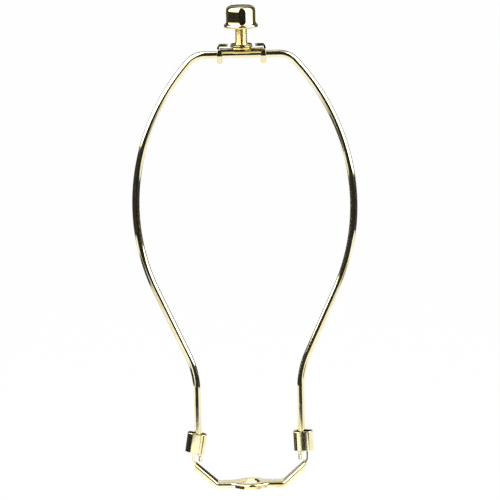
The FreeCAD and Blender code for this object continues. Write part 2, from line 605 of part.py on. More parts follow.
def draw_frame(sketch) -> None:
    """Draws a square round the plan, so that a pocket takes away what lies between the two."""
    far = places.plan_far
    corners = [FreeCAD.Vector(far, far, 0), FreeCAD.Vector(-far, far, 0),
               FreeCAD.Vector(-far, -far, 0), FreeCAD.Vector(far, -far, 0)]
    first = sketch.addGeometry([Part.LineSegment(corners[i], corners[(i + 1) % 4]) for i in range(4)])[0]
    for number in range(4):
        sketch.addConstraint(Sketcher.Constraint("Coincident", first + number, 2, first + (number + 1) % 4, 1))
    for number, corner in enumerate(corners):
        across = "" if corner.x > 0 else "-"
        up = "" if corner.y > 0 else "-"
        bind(sketch, Sketcher.Constraint("DistanceX", -1, 1, first + number, 1, corner.x), f"{across}Places.plan_far")
        bind(sketch, Sketcher.Constraint("DistanceY", -1, 1, first + number, 1, corner.y), f"{up}Places.plan_far")


def web_height(across: float) -> float:
    """Gives the height of the web's top at a distance from the centre plane."""
    across = abs(across)
    if across <= places.top_fold_start_u:
        return read_size("sheet_thickness")
    if across < places.top_fold_end_u:
        run = across - places.crease_across
        return places.crease_up - math.sqrt(places.top_fold ** 2 - run * run)
    slope = math.tan(math.radians(read_size("arm_angle")))
    return places.top_fold_end_v + (across - places.top_fold_end_u) * slope


def on_web_rim(edge) -> bool:
    """Says whether an edge runs along the rim of the web's top, and not straight across the strip."""
    middle = middle_of(edge)
    ends = [vertex_of_edge.Point for vertex_of_edge in edge.Vertexes]
    crosses = near(ends[0].x, ends[-1].x) and near(ends[0].z, ends[-1].z) and len(ends) > 1
    return not crosses and near(middle.z, web_height(middle.x))


def on_flange_corner(edge) -> bool:
    """Says whether an edge is a flange's outer lower corner, which runs straight from front to back."""
    middle = middle_of(edge)
    return near(abs(middle.x), places.edge_arm_end_u) and near(middle.z, places.edge_arm_end_v)


def make_saddle():
    """One pressed strip: a ring seat, two rising arms with turned-down flanges, and two flat prongs."""
    blank, trim = make_saddle_blank("saddle_blank", "top", "outer")
    corners = ease_edges(blank, "flange_corners", trim, on_flange_corner, "Sizes.flange_corner")
    ease_edges(blank, "strip_bends", corners, on_web_rim, "Sizes.strip_bend")
    side = new_sketch(blank, "prong_side", "XZ_Plane")
    draw(side, [straight("top_root"), arc("top_arm_end", "top_turn", 1), straight("top_bend_end"),
                straight("top_prong_top"), straight("under_prong_top"), arc("under_bend_end", "under_turn", -1),
                straight("under_arm_end"), straight("under_root")])
    doc.recompute()
    prong = add_pad(blank, "prong", side, "Sizes.prong_width", midplane=True)
    add_mirror(blank, "other_prong", [prong], "YZ_Plane")
    hole_sketch = new_sketch(blank, "ring_hole_circle", "XY_Plane")
    work_out("bore_radius", "Sizes.bore_diameter / 2")
    doc.recompute()
    draw_circle(hole_sketch, "bore_radius")
    hole = blank.newObject("PartDesign::Pocket", "ring_hole")
    hole.Profile = hole_sketch
    hole.Type = "ThroughAll"
    hole.Midplane = True
    doc.recompute()
    hollow = make_saddle_blank("saddle_hollow", "under", "inner")[0]
    saddle = doc.addObject("Part::Cut", "saddle")
    saddle.Base = blank
    saddle.Tool = hollow
    saddle.Refine = True
    saddle.Label = "saddle"
    doc.recompute()
    return saddle


def make_ferrule(side: str):
    """A drawn oval sleeve with rounded ends, which slides on a leg and locks it to its prong."""
    name = f"ferrule_{side}"
    body = new_body(name)
    sketch = new_sketch(body, name + "_section", "XY_Plane", "-Sizes.ferrule_height / 2")
    for outline in ("sleeve", "bore"):
        draw(sketch, all_round([arc(f"{outline}_side", f"{outline}_round", 1), straight(f"{outline}_face")]))
    doc.recompute()
    tube = add_pad(body, name + "_tube", sketch, "Sizes.ferrule_height")
    half = read_size("ferrule_height") / 2
    ease_edges(body, name + "_lips", tube, lambda edge: near(abs(middle_of(edge).z), half), "Sizes.ferrule_lip",
               "Chamfer")
    sign = SIDES[side]
    body.setExpression("Placement.Base.x", f"{sign} * (Sizes.leg_half_spacing + Sizes.ferrule_{side}_shift)")
    body.setExpression("Placement.Base.z", f"Places.{side}_sleeve_rise")
    body.Placement.Rotation = FreeCAD.Rotation(FreeCAD.Vector(0, -sign, 0), 1)
    body.setExpression("Placement.Rotation.Angle", f"Sizes.ferrule_{side}_tilt")
    doc.recompute()
    return body


def make_shade_rest():
    """One stamping: a plate with a raised middle, claws that clasp the wire and ends curled over inwards."""
    body = new_body("shade_rest")
    plan = new_sketch(body, "plate_plan", "XY_Plane", "Places.plate_under")
    draw(plan, all_round([straight("plate_corner"), arc("lobe_arm", "lobe_blend", -1),
                          arc("lobe_touch", "lobe_radius", 1)]))
    doc.recompute()
    add_pad(body, "plate", plan, "Sizes.rest_sheet")
    boss_sketch = new_sketch(body, "boss_circle", "XY_Plane", "Places.plate_under")
    draw_circle(boss_sketch, "boss_radius")
    boss = add_pad(body, "boss", boss_sketch, "Sizes.rest_sheet + Sizes.boss_rise")
    ease_edges(body, "boss_rim", boss, lambda edge: near(middle_of(edge).z, places.boss_top), "Sizes.boss_edge",
               "Chamfer")
    side = new_sketch(body, "curl_side", "XZ_Plane")
    draw(side, [straight("curl_a"), arc("curl_b", HALF_TURN, 1), straight("curl_c"), straight("curl_d"),
                straight("curl_e"), arc("curl_f", HALF_TURN, -1), straight("curl_g"), straight("curl_h")])
    doc.recompute()
    curl = add_pad(body, "curl", side, "Sizes.tongue_width", midplane=True)
    add_mirror(body, "other_curl", [curl], "YZ_Plane")
    claw_side = new_sketch(body, "claw_side", "YZ_Plane", "Places.claw_near")
    draw(claw_side, [straight("claw_e"), straight("claw_d"), arc("claw_c", "rest_sheet", 1), straight("claw_a")])
    doc.recompute()
    claw = add_pad(body, "claw", claw_side, "Sizes.claw_width")
    both = body.newObject("PartDesign::MultiTransform", "four_claws")
    front_to_back = doc.addObject("PartDesign::Mirrored", "claws_front_to_back")
    front_to_back.MirrorPlane = (origin_plane(body, "XZ_Plane"), [""])
    side_to_side = doc.addObject("PartDesign::Mirrored", "claws_side_to_side")
    side_to_side.MirrorPlane = (origin_plane(body, "YZ_Plane"), [""])
    both.Originals = [claw]
    both.Transformations = [front_to_back, side_to_side]
    body.Tip = both
    doc.recompute()
    room_sketch = new_sketch(body, "rivet_room_circle", "XY_Plane", "Places.plate_under")
    draw_circle(room_sketch, "rivet_room")
    room = body.newObject("PartDesign::Pocket", "rivet_room_pocket")
    room.Profile = room_sketch
    room.setExpression("Length", "Sizes.boss_rise")
    room.Reversed = True
    doc.recompute()
    pivot_sketch = new_sketch(body, "pivot_circle", "XY_Plane", "Places.plate_under")
    draw_circle(pivot_sketch, "pivot_hole")
    pivot = body.newObject("PartDesign::Pocket", "pivot_hole_cut")
    pivot.Profile = pivot_sketch
    pivot.Type = "ThroughAll"
    pivot.Midplane = True
    doc.recompute()
    tips = ease_edges(body, "claw_ends", pivot, on_claw_end, "Sizes.claw_round")
    ease_edges(body, "tongue_tips", tips, on_tongue_tip, "Sizes.tongue_tip_round")
    return body


def on_claw_end(edge) -> bool:
    """Says whether an edge crosses the thickness of a claw at its lower end."""
    middle = middle_of(edge)
    reach = (places.claw_inner + places.claw_outer) / 2
    return near(middle.z, places.claw_end) and near(abs(middle.y), reach)


def on_tongue_tip(edge) -> bool:
    """Says whether an edge stands upright at the tip of a curled end."""
    middle = middle_of(edge)
    height = (places.curl_d_v + places.curl_e_v) / 2
    return near(abs(middle.x), places.curl_d_u) and near(middle.z, height)


def revolve(name: str, marks):
    """Turns a half section about the upright axis, drawn straight from point to point."""
    body = new_body(name)
    sketch = new_sketch(body, name + "_section", "XZ_Plane")
    draw(sketch, [straight(mark) for mark in marks])
    doc.recompute()
    turn = body.newObject("PartDesign::Revolution", name + "_turned")
    turn.Profile = sketch
    turn.ReferenceAxis = (sketch, ["V_Axis"])
    turn.Angle = 360
    doc.recompute()
    return body


def make_swivel_stud():
    """Riveted neck, flange and 1/4 inch threaded post, turned in one piece. The thread is left plain, in two
    lengths: the shade sits on the lower one and the finial screws on the upper one."""
    return revolve("swivel_stud", [f"stud_{letter}" for letter in "abcdefghjklmnopq"])


def make_stud_washer():
    """Flat washer between the stud's flange and the raised middle of the plate."""
    for letter, across, up in (("a", "washer_inner", "washer_under"), ("b", "washer_outer", "washer_under"),
                               ("c", "washer_outer", "washer_top"), ("d", "washer_inner", "washer_top")):
        spot(f"washer_{letter}", across, up)
    doc.recompute()
    return revolve("stud_washer", [f"washer_{letter}" for letter in "abcd"])


def make_finial_cap():
    """Drawn shell: a round-topped barrel that flares into a rolled lip. Each curve is two or three straights."""
    return revolve("finial_cap", [f"shell_{letter}" for letter in "abcdefghijklmno"])


def make_finial_nut():
    """Threaded hub held in the shell by its wider head."""
    return revolve("finial_nut", [f"hub_{letter}" for letter in "abcdef"])


def check_document() -> None:
    """Stops if any object failed to compute."""
    for item in doc.Objects:
        if "Invalid" in item.State or "Error" in item.State:
            raise RuntimeError(f"{item.Label} is {item.State}")


def write_pieces(pieces) -> None:
    """Checks each piece's solid and writes it under its own name."""
    os.makedirs("parts", exist_ok=True)
    for piece in pieces:
        shape = piece.Shape
        if shape.isNull() or not shape.isValid() or len(shape.Solids) != 1:
            raise RuntimeError(f"{piece.Label} isn't one valid solid")
        shape.exportStep(f"parts/{piece.Label}.step")
        box = shape.BoundBox
        print(f"{piece.Label:14s} volume {shape.Volume:9.2f}  x {box.XMin:7.2f} {box.XMax:7.2f}"
              f"  y {box.YMin:6.2f} {box.YMax:6.2f}  z {box.ZMin:7.2f} {box.ZMax:7.2f}")


fill_sheet()
wire_places()
foot_places()
saddle_places()
ferrule_places()
rest_places()
stud_places()
finial_places()
work_out("boss_radius", "Sizes.boss_diameter / 2")
work_out("rivet_room", "Sizes.rivet_room_diameter / 2")
work_out("pivot_hole", "pivot_radius + Sizes.pivot_clearance")
work_out("washer_inner", "pivot_radius + Sizes.washer_bore_clearance")
work_out("washer_outer", "Sizes.washer_diameter / 2")
doc.recompute()
parts = [make_harp_wire(), make_saddle()]
parts += [make_ferrule(side) for side in SIDES]
parts += [make_shade_rest(), make_swivel_stud(), make_stud_washer(), make_finial_cap(), make_finial_nut()]
doc.recompute()
check_document()
write_pieces(parts)
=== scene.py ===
"""A lamp harp in polished brass plate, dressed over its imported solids.

Every piece is a surface worked out on a grid of two parameters, in millimetres, and stands where the
solid that it replaces stands. Each class holds one sub-assembly's sizes and makes its pieces.
"""
import logging
from dataclasses import dataclass
from enum import Enum

import bpy
import numpy as np
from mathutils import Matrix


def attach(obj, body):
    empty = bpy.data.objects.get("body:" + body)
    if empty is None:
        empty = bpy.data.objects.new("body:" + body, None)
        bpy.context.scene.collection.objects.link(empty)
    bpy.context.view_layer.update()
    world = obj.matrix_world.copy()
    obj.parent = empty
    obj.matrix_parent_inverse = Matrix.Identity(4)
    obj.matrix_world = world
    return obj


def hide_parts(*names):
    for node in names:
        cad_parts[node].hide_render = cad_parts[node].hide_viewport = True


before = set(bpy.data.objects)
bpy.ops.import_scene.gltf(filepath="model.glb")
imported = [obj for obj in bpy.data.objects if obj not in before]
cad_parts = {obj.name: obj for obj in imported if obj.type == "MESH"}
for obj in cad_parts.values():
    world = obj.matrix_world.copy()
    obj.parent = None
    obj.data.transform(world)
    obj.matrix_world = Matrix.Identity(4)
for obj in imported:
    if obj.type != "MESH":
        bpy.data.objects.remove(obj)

LOG = logging.getLogger("lamp_harp")
MM = 0.001
Array = np.ndarray
Feed = bpy.types.NodeSocket | float | tuple[float, ...]
Outputs = bpy.types.bpy_prop_collection


class Slot(Enum):
    """The record's material slots."""

    WIRE = "plated_wire"
    STRIP = "plated_strip"
    SLEEVE = "drawn_sleeve"
    STAMPING = "plated_stamping"
    TURNED = "turned_brass"
    SHELL = "finial_shell"


class Body(Enum):
    """The rigid bodies that the pieces ride on."""

    SADDLE = "saddle"
    HARP = "harp"
    FERRULE_LEFT = "ferrule_left"
    FERRULE_RIGHT = "ferrule_right"
    STUD = "stud"
    FINIAL = "finial"


class Side(Enum):
    """The two sides of the harp, as the sign of X."""

    LEFT = -1
    RIGHT = 1


# Surfaces

@dataclass
class Surface:
    """Points in millimetres, faces of four corners, and each corner's place on the surface in millimetres."""

    points: Array
    faces: Array
    marks: Array


def grid_surface(points: Array, wrap: bool = False) -> Surface:
    """Covers a grid of points with faces.

    Each point's place on the surface is its distance along the middle row and along the middle column.

    Args:
        points: Array of rows by columns by 3.
        wrap: True where the last column meets the first.

    Returns:
        The surface, with one face between each four neighbouring points.
    """
    if wrap:
        points = np.concatenate([points, points[:, :1]], axis=1)
    rows, columns = points.shape[:2]
    along_both = np.meshgrid(run_length(points[rows // 2]), run_length(points[:, columns // 2]))
    index = np.arange(rows * columns).reshape(rows, columns)
    corners = (index[:-1, :-1], index[:-1, 1:], index[1:, 1:], index[1:, :-1])
    faces = np.stack(corners, axis=-1).reshape(-1, 4)
    return Surface(points.reshape(-1, 3), faces, np.stack(along_both, axis=-1).reshape(-1, 2)[faces])


def run_length(line: Array) -> Array:
    """Gives each point its distance along the line from the first one."""
    return np.concatenate([[0.0], np.cumsum(np.linalg.norm(np.diff(line, axis=0), axis=1))])


def sheet_with_edges(upper: Array, lower: Array, first_edge: Array) -> list[Surface]:
    """Joins two matching grids into a sheet, with strips at two of its borders and along part of a third.

    Args:
        upper: Array of rows by columns by 3, the sheet's outer face.
        lower: The same for its inner face.
        first_edge: A mask of the rows whose first column gets a strip.

    Returns:
        The surfaces of the sheet, which is open where it meets its mirror image.
    """
    return [grid_surface(upper), grid_surface(lower[:, ::-1]), edge_strip(upper[:, -1], lower[:, -1]),
            edge_strip(lower[first_edge, 0], upper[first_edge, 0]), edge_strip(lower[-1], upper[-1])]


def edge_strip(one: Array, other: Array) -> Surface:
    """Joins two lines of points with a single strip of faces."""
    return grid_surface(np.stack([one, other], axis=1))


def closed_bar(body: Array) -> Surface:
    """Covers a carried section and closes its ends: the points of each draw together in its middle."""
    ends = np.repeat(body[[0, -1]].mean(axis=1, keepdims=True), body.shape[1], axis=1)
    return grid_surface(np.concatenate([ends[:1], body, ends[1:]]), wrap=True)


def weld(surfaces: list[Surface]) -> tuple[Array, list[Array], list[Array]]:
    """Joins surfaces where their points coincide, and drops what has no area.

    Points are rounded to a tenth of a micron and made unique. A face with two corners that have become one
    is a triangle, and a face with fewer than three corners left goes.

    Args:
        surfaces: The surfaces of one closed piece.

    Returns:
        The points, the faces as lists of corners, and the marks of those corners.
    """
    offsets = np.cumsum([0] + [len(surface.points) for surface in surfaces[:-1]])
    points = np.concatenate([surface.points for surface in surfaces])
    faces = np.concatenate([surface.faces + offset for surface, offset in zip(surfaces, offsets)])
    marks = np.concatenate([surface.marks for surface in surfaces])
    keys = np.round(points * 1e4).astype(np.int64)
    _, first, inverse = np.unique(keys, axis=0, return_index=True, return_inverse=True)
    faces = inverse.reshape(-1)[faces]
    points = points[first]
    same = faces == np.roll(faces, -1, axis=1)
    crossed = (faces[:, 0] == faces[:, 2]) | (faces[:, 1] == faces[:, 3])
    quads = ~same.any(axis=1) & ~crossed
    triangles = (same.sum(axis=1) == 1) & ~crossed
    keep = np.nonzero(~same[triangles])
    corners = faces[triangles][keep].reshape(-1, 3)
    corner_marks = marks[triangles][keep].reshape(-1, 3, 2)
    return points, [faces[quads], corners], [marks[quads], corner_marks]


def turn_outwards(points: Array, faces: list[Array], marks: list[Array]) -> tuple[list[Array], list[Array]]:
    """Turns every face round if the closed piece would otherwise be inside out.

    The sign is that of the volume, a sixth of the sum of each triangle's corner, crossed with the next and
    dotted with the third.

    Args:
        points: The piece's points.
        faces: Its faces, quads and then triangles.
        marks: The marks of their corners.

    Returns:
        The faces and marks, in outward order.
    """
    triangles = np.concatenate([faces[0][:, :3], faces[0][:, [0, 2, 3]], faces[1]])
    a, b, c = (points[triangles[:, corner]] for corner in range(3))
    if np.einsum("ij,ij->", a, np.cross(b, c)) < 0:
        return [block[:, ::-1] for block in faces], [block[:, ::-1] for block in marks]
    return faces, marks


def make_piece(name: str, parts: list[list[Surface]], crease_degrees: float = 40.0) -> bpy.types.Object:
    """Makes one mesh object of closed parts.

    Args:
        name: The object's name.
        parts: For each closed part, its surfaces.
        crease_degrees: The angle between two faces above which their edge stays sharp.

    Returns:
        The object, at the origin, in metres.
    """
    all_points, polygons, all_marks, count = [], [], [], 0
    for surfaces in parts:
        points, faces, marks = weld(surfaces)
        faces, marks = turn_outwards(points, faces, marks)
        all_points.append(points)
        polygons += [row for block in faces for row in (block + count).tolist()]
        all_marks += [block.reshape(-1, 2) for block in marks]
        count += len(points)
    mesh = bpy.data.meshes.new(name)
    mesh.from_pydata((np.concatenate(all_points) * MM).tolist(), [], polygons)
    layer = mesh.uv_layers.new(name="place_on_surface")
    layer.data.foreach_set("uv", (np.concatenate(all_marks) * MM).astype(np.float32).ravel())
    mesh.polygons.foreach_set("use_smooth", np.ones(len(mesh.polygons), dtype=bool))
    mesh.set_sharp_from_angle(angle=np.radians(crease_degrees))
    mesh.update()
    return put_in_scene(name, mesh)


def put_in_scene(name: str, data: bpy.types.ID) -> bpy.types.Object:
    """Makes an object of a mesh, lamp or camera and links it to the scene.

    Args:
        name: The object's name.
        data: Its mesh, lamp or camera.

    Returns:
        The object.
    """
    made = bpy.data.objects.new(name, data)
    bpy.context.scene.collection.objects.link(made)
    return made


# Profiles and paths

def line_points(across: Array | float, up: Array | float) -> Array:
    """Pairs the two values of each point, of which one may be the same for all."""
    return np.stack(np.broadcast_arrays(across, up), axis=1)


def towards_tip(tip: float, radius: float, steps: int) -> Array:
    """Gives places that close up on a tip: the tip plus the radius times one less an even angle's sine."""
    return tip + radius * (1 - np.sin(np.radians(np.linspace(0, 90, steps + 1))))


def arc_points(centre: tuple[float, float], radius: float, start: float, end: float, steps: int) -> Array:
    """Gives points on an arc: the centre plus the radius times the cosine and sine of an even angle.

    Args:
        centre: The arc's centre.
        radius: Its radius.
        start: The first angle, in degrees.
        end: The last angle, in degrees.
        steps: How many stretches the arc is divided into.

    Returns:
        Array of steps + 1 by 2.
    """
    angle = np.radians(np.linspace(start, end, steps + 1))
    return np.stack([centre[0] + radius * np.cos(angle), centre[1] + radius * np.sin(angle)], axis=1)


def rounded(corners: Array, radii: Array, steps: int = 6, guard: float = 0.03, closed: bool = True) -> Array:
    """Rounds the corners of a profile.

    Each corner becomes an arc that starts a tangent length before it, the radius times the tangent of half
    the turn, and turns by the whole turn about a centre one radius to the side. A guard point lies just
    outside each end of the arc, so that the flats keep their own shading.

    Args:
        corners: Array of corners by 2, in order.
        radii: The radius at each corner.
        steps: How many stretches each arc is divided into.
        guard: How far outside the arc its guard points lie.
        closed: False where the profile's two end corners are plain ends.

    Returns:
        The profile's points, in order.
    """
    corners, radii = np.asarray(corners, float), np.asarray(radii, float)
    before = corners - np.roll(corners, 1, axis=0)
    after = np.roll(corners, -1, axis=0) - corners
    before /= np.linalg.norm(before, axis=1, keepdims=True)
    after /= np.linalg.norm(after, axis=1, keepdims=True)
    turn = np.arctan2(before[:, 0] * after[:, 1] - before[:, 1] * after[:, 0], (before * after).sum(axis=1))
    lead = radii * np.tan(np.abs(turn) / 2)
    start = corners - before * lead[:, None]
    side = np.stack([-before[:, 1], before[:, 0]], axis=1) * (np.sign(turn) * radii)[:, None]
    angle = turn[:, None] * np.linspace(0, 1, steps + 1)
    spoke = -side
    arc_x = spoke[:, :1] * np.cos(angle) - spoke[:, 1:] * np.sin(angle)
    arc_y = spoke[:, :1] * np.sin(angle) + spoke[:, 1:] * np.cos(angle)
    arcs = np.stack([arc_x, arc_y], axis=-1) + (start + side)[:, None]
    guards = guard * (radii > 0)[:, None]
    opened = arcs[:, :1] - (before * guards)[:, None]
    ended = arcs[:, -1:] + (after * guards)[:, None]
    made = np.concatenate([opened, arcs, ended], axis=1)
    if closed:
        return made.reshape(-1, 2)
    return np.concatenate([corners[:1], made[1:-1].reshape(-1, 2), corners[-1:]])


def turned(profile: Array, around: int) -> Surface:
    """Turns a profile about the upright axis: each point's X and Y are its radius times the cosine and sine.

    Args:
        profile: Array of points by 2, radius and height.
        around: How many stretches the turn is divided into.

    Returns:
        The surface, open where the profile is.
    """
    angle = np.radians(np.linspace(0, 360, around + 1))[:-1]
    radius, height = profile[:, :1], profile[:, 1:]
    points = np.stack([radius * np.cos(angle), radius * np.sin(angle), height + 0 * angle], axis=-1)
    return grid_surface(points, wrap=True)


def ring(profile: Array, around: int = 96) -> list[Surface]:
    """Turns a profile after joining its last point to its first."""
    return [turned(np.concatenate([profile, profile[:1]]), around)]


def joined(*pieces: Array) -> Array:
    """Runs stretches of a profile together, leaving out each point that repeats the one before it.

    Args:
        pieces: The stretches, each an array of points by 2.

    Returns:
        The profile as one array.
    """
    chain = np.concatenate(pieces)
    fresh = np.linalg.norm(np.diff(chain, axis=0), axis=1) > 1e-6
    return chain[np.concatenate([[True], fresh])]


def path_normals(path: Array) -> Array:
    """Gives the unit normal to the left of a flat path at each point, worked out from its neighbours.

    Args:
        path: Array of stations by 2.

    Returns:
        Array of stations by 2.
    """
    along = np.gradient(path, axis=0)
    along /= np.linalg.norm(along, axis=1, keepdims=True)
    return np.stack([-along[:, 1], along[:, 0]], axis=1)


def carry(path: Array, section: Array, plane: tuple[int, int] = (0, 2)) -> Array:
    """Carries a section along a flat path.

    A point is the path's point plus the section's first value times the path's left normal, and the
    section's second value stands square to the path's plane.

    Args:
        path: Array of stations by 2.
        section: Array of points by 2, or of stations by points by 2 where it changes on the way.
        plane: The two axes of the path's plane.

    Returns:
        Array of stations by points by 3.
    """
    section = np.broadcast_to(section, (len(path),) + section.shape[-2:])
    flat = path[:, None] + section[..., :1] * path_normals(path)[:, None]
    made = np.zeros(section.shape[:2] + (3,))
    made[..., plane[0]] = flat[..., 0]
    made[..., plane[1]] = flat[..., 1]
    made[..., 3 - sum(plane)] = section[..., 1]
    return made


def end_inset(distance: Array, radius: float) -> Array:
    """Gives how far a rounded end draws in, at a distance from its tip: the radius less the arc's height."""
    inside = np.clip(radius - distance, 0, radius)
    return radius - np.sqrt(np.maximum(radius * radius - inside * inside, 0))


def flat_bar_section(half_thickness: float, half_width: Array, edge: float) -> Array:
    """Gives a flat bar's section at each station, with its four edges rounded.

    It is drawn at one half width, and its two sides are then moved to each station's own.

    Args:
        half_thickness: Half the bar's thickness.
        half_width: Half its width at each station.
        edge: The radius of its edges.

    Returns:
        Array of stations by points by 2: along the path's normal, then across.
    """
    drawn = 2.0
    corners = np.array([[-1, -1], [1, -1], [1, 1], [-1, 1]]) * (half_thickness, drawn)
    unit = rounded(corners, np.full(4, edge), steps=3)
    across = unit[:, 1] - np.sign(unit[:, 1]) * drawn
    wide = np.sign(unit[:, 1]) * np.maximum(half_width, edge)[:, None] + across
    return np.stack([np.broadcast_to(unit[:, 0], wide.shape), wide], axis=-1)


def round_to_arm(across: Array, lobe: float, blend: float, arm_half: float, arm: Array | float,
                 inset: Array | float = 0.0) -> Array:
    """Gives the half width of a round lobe that blends into an arm.

    It is the lobe's circle, then the blend's circle about its own centre, then the arm's edge.

    Args:
        across: Distance from the middle, in X.
        lobe: The lobe's radius.
        blend: The blend's radius.
        arm_half: The arm's half width where the blend meets it.
        arm: The arm's half width beyond the blend, with the inset taken off.
        inset: How far the outline is drawn in.

    Returns:
        The half width, in Y.
    """
    centre_up = arm_half + blend
    centre = np.sqrt((lobe + blend) ** 2 - centre_up ** 2)
    circle = np.sqrt(np.maximum((lobe - inset) ** 2 - across ** 2, 0))
    hollow = centre_up - np.sqrt(np.maximum((blend + inset) ** 2 - (across - centre) ** 2, 0))
    touch = centre * (lobe - inset) / (lobe + blend)
    return np.where(across < touch, circle, np.where(across < centre, hollow, arm))


# Finishes

def feed(tree: bpy.types.NodeTree, node: bpy.types.Node, inputs: dict[str | int, Feed]) -> None:
    """Sets each input of a node to its constant, or links it to the output that feeds it.

    Args:
        tree: The tree that holds the node.
        node: The node.
        inputs: For each input, its constant or the output that feeds it.
    """
    for label, value in inputs.items():
        if isinstance(value, bpy.types.NodeSocket):
            tree.links.new(value, node.inputs[label])
        else:
            node.inputs[label].default_value = value


def add_node(tree: bpy.types.NodeTree, kind: str, inputs: dict[str | int, Feed],
             **settings: object) -> Outputs:
    """Adds a node to a tree.

    Args:
        tree: The tree.
        kind: The node's type, without its first word.
        inputs: For each input, its constant or the output that feeds it.
        settings: The node's own settings, such as its operation.

    Returns:
        The node's outputs.
    """
    node = tree.nodes.new(f"ShaderNode{kind}")
    for label, value in settings.items():
        setattr(node, label, value)
    feed(tree, node, inputs)
    return node.outputs


def new_material(name: str, inputs: dict[str | int, Feed]) -> bpy.types.Material:
    """Makes a material whose surface has the given inputs.

    Args:
        name: The material's name.
        inputs: The constant of each input.

    Returns:
        The material.
    """
    made = bpy.data.materials.new(name)
    made.use_nodes = True
    feed(made.node_tree, made.node_tree.nodes["Principled BSDF"], inputs)
    return made


@dataclass(frozen=True)
class BrassPlate:
    """A polished brass finish.

    bright and deep are the two tones between which the plate drifts, in so many grains to the metre. polish
    is its roughness where it is cleanest, haze what its marks add to that, and relief the depth of the marks
    in millimetres. The marks are noise with so many grains to the metre across the surface and along it.
    """

    slot: Slot
    bright: tuple[float, float, float]
    deep: tuple[float, float, float]
    polish: float = 0.07
    haze: float = 0.12
    grains_across: float = 2600.0
    grains_along: float = 120.0
    relief: float = 0.0025
    drift_grains: float = 85.0

    def material(self, shared: dict[str, bpy.types.NodeTree]) -> bpy.types.Material:
        """Builds the material.

        Args:
            shared: The node groups that every finish uses.

        Returns:
            The material, named after its slot.
        """
        made = new_material(self.slot.value, {"Metallic": 1.0, "Specular IOR Level": 0.5})
        tree = made.node_tree
        place = add_node(tree, "TexCoord", {})
        drift = add_node(tree, "Group", {"Grains": self.drift_grains, "Place": place["Object"]},
                         node_tree=shared["plate_drift"])
        tones = {"A": (*self.bright, 1.0), "B": (*self.deep, 1.0)}
        tone = add_node(tree, "Mix", {"Factor": drift["Depth"], **tones}, data_type="RGBA")
        marks = add_node(tree, "Group", {
            "Place": place["UV"], "Smear": drift["Smear"], "Polish": self.polish, "Haze": self.haze,
            "Grains Across": self.grains_across, "Grains Along": self.grains_along,
        }, node_tree=shared["polish_marks"])
        bump = add_node(tree, "Bump", {
            "Strength": 1.0, "Distance": self.relief * MM, "Height": marks["Height"]})
        feed(tree, tree.nodes["Principled BSDF"], {
            "Base Color": tone["Result"], "Roughness": marks["Roughness"], "Normal": bump["Normal"]})
        return made


def new_group(name: str, inputs: dict[str, str], outputs: dict[str, str]) -> bpy.types.NodeTree:
    """Starts a shader node group.

    Args:
        name: The group's name.
        inputs: Each input's name and socket type.
        outputs: Each output's name and socket type.

    Returns:
        The group, with its input and output nodes.
    """
    group = bpy.data.node_groups.new(name, "ShaderNodeTree")
    for label, kind in inputs.items():
        group.interface.new_socket(label, in_out="INPUT", socket_type=kind)
    for label, kind in outputs.items():
        group.interface.new_socket(label, in_out="OUTPUT", socket_type=kind)
    group.nodes.new("NodeGroupInput").name = "in"
    group.nodes.new("NodeGroupOutput").name = "out"
    return group


def plate_drift_group() -> bpy.types.NodeTree:
    """Builds the slow change of a plated surface.

    Depth is soft noise, spread between pale and deep tones. Smear is a second, broader noise that says
    where handling has dulled the polish.

    Returns:
        The group.
    """
    group = new_group("plate_drift", {"Place": "NodeSocketVector", "Grains": "NodeSocketFloat"},
                      {"Depth": "NodeSocketFloat", "Smear": "NodeSocketFloat"})
    given = group.nodes["in"].outputs
    for label, share, low, high in (("Depth", 1.0, 0.36, 0.68), ("Smear", 0.45, 0.46, 0.72)):
        scale = add_node(group, "Math", {0: given["Grains"], 1: share}, operation="MULTIPLY")
        noise = add_node(group, "TexNoise", {"Detail": 4.0, "Vector": given["Place"], "Scale": scale[0]})
        spread = add_node(group, "MapRange", {"From Min": low, "From Max": high, "Value": noise["Fac"]})
        feed(group, group.nodes["out"], {label: spread["Result"]})
    return group


def polish_marks_group() -> bpy.types.NodeTree:
    """Builds the fine lines that drawing and buffing leave.

    The place on the surface is multiplied by the grains across and along it, so that noise of one grain a
    unit is drawn out into lines. Height is that noise, and Roughness is the polish plus the haze times the
    lines' mask and half the smear.

    Returns:
        The group.
    """
    floats = dict.fromkeys(("Grains Across", "Grains Along", "Polish", "Haze", "Smear"), "NodeSocketFloat")
    group = new_group("polish_marks", {"Place": "NodeSocketVector", **floats},
                      {"Roughness": "NodeSocketFloat", "Height": "NodeSocketFloat"})
    given = group.nodes["in"].outputs
    grains = add_node(group, "CombineXYZ", {"X": given["Grains Across"], "Y": given["Grains Along"]})
    spread = add_node(group, "VectorMath", {0: given["Place"], 1: grains["Vector"]}, operation="MULTIPLY")
    lines = add_node(group, "TexNoise", {
        "Scale": 1.0, "Detail": 3.0, "Roughness": 0.65, "Vector": spread["Vector"]})
    mask = add_node(group, "MapRange", {"From Min": 0.52, "From Max": 0.78, "Value": lines["Fac"]})
    dulled = add_node(group, "Math", {0: given["Smear"], 1: 0.5, 2: mask["Result"]}, operation="MULTIPLY_ADD")
    rough = add_node(group, "Math", {0: dulled[0], 1: given["Haze"], 2: given["Polish"]},
                     operation="MULTIPLY_ADD")
    feed(group, group.nodes["out"], {"Roughness": rough[0], "Height": lines["Fac"]})
    return group


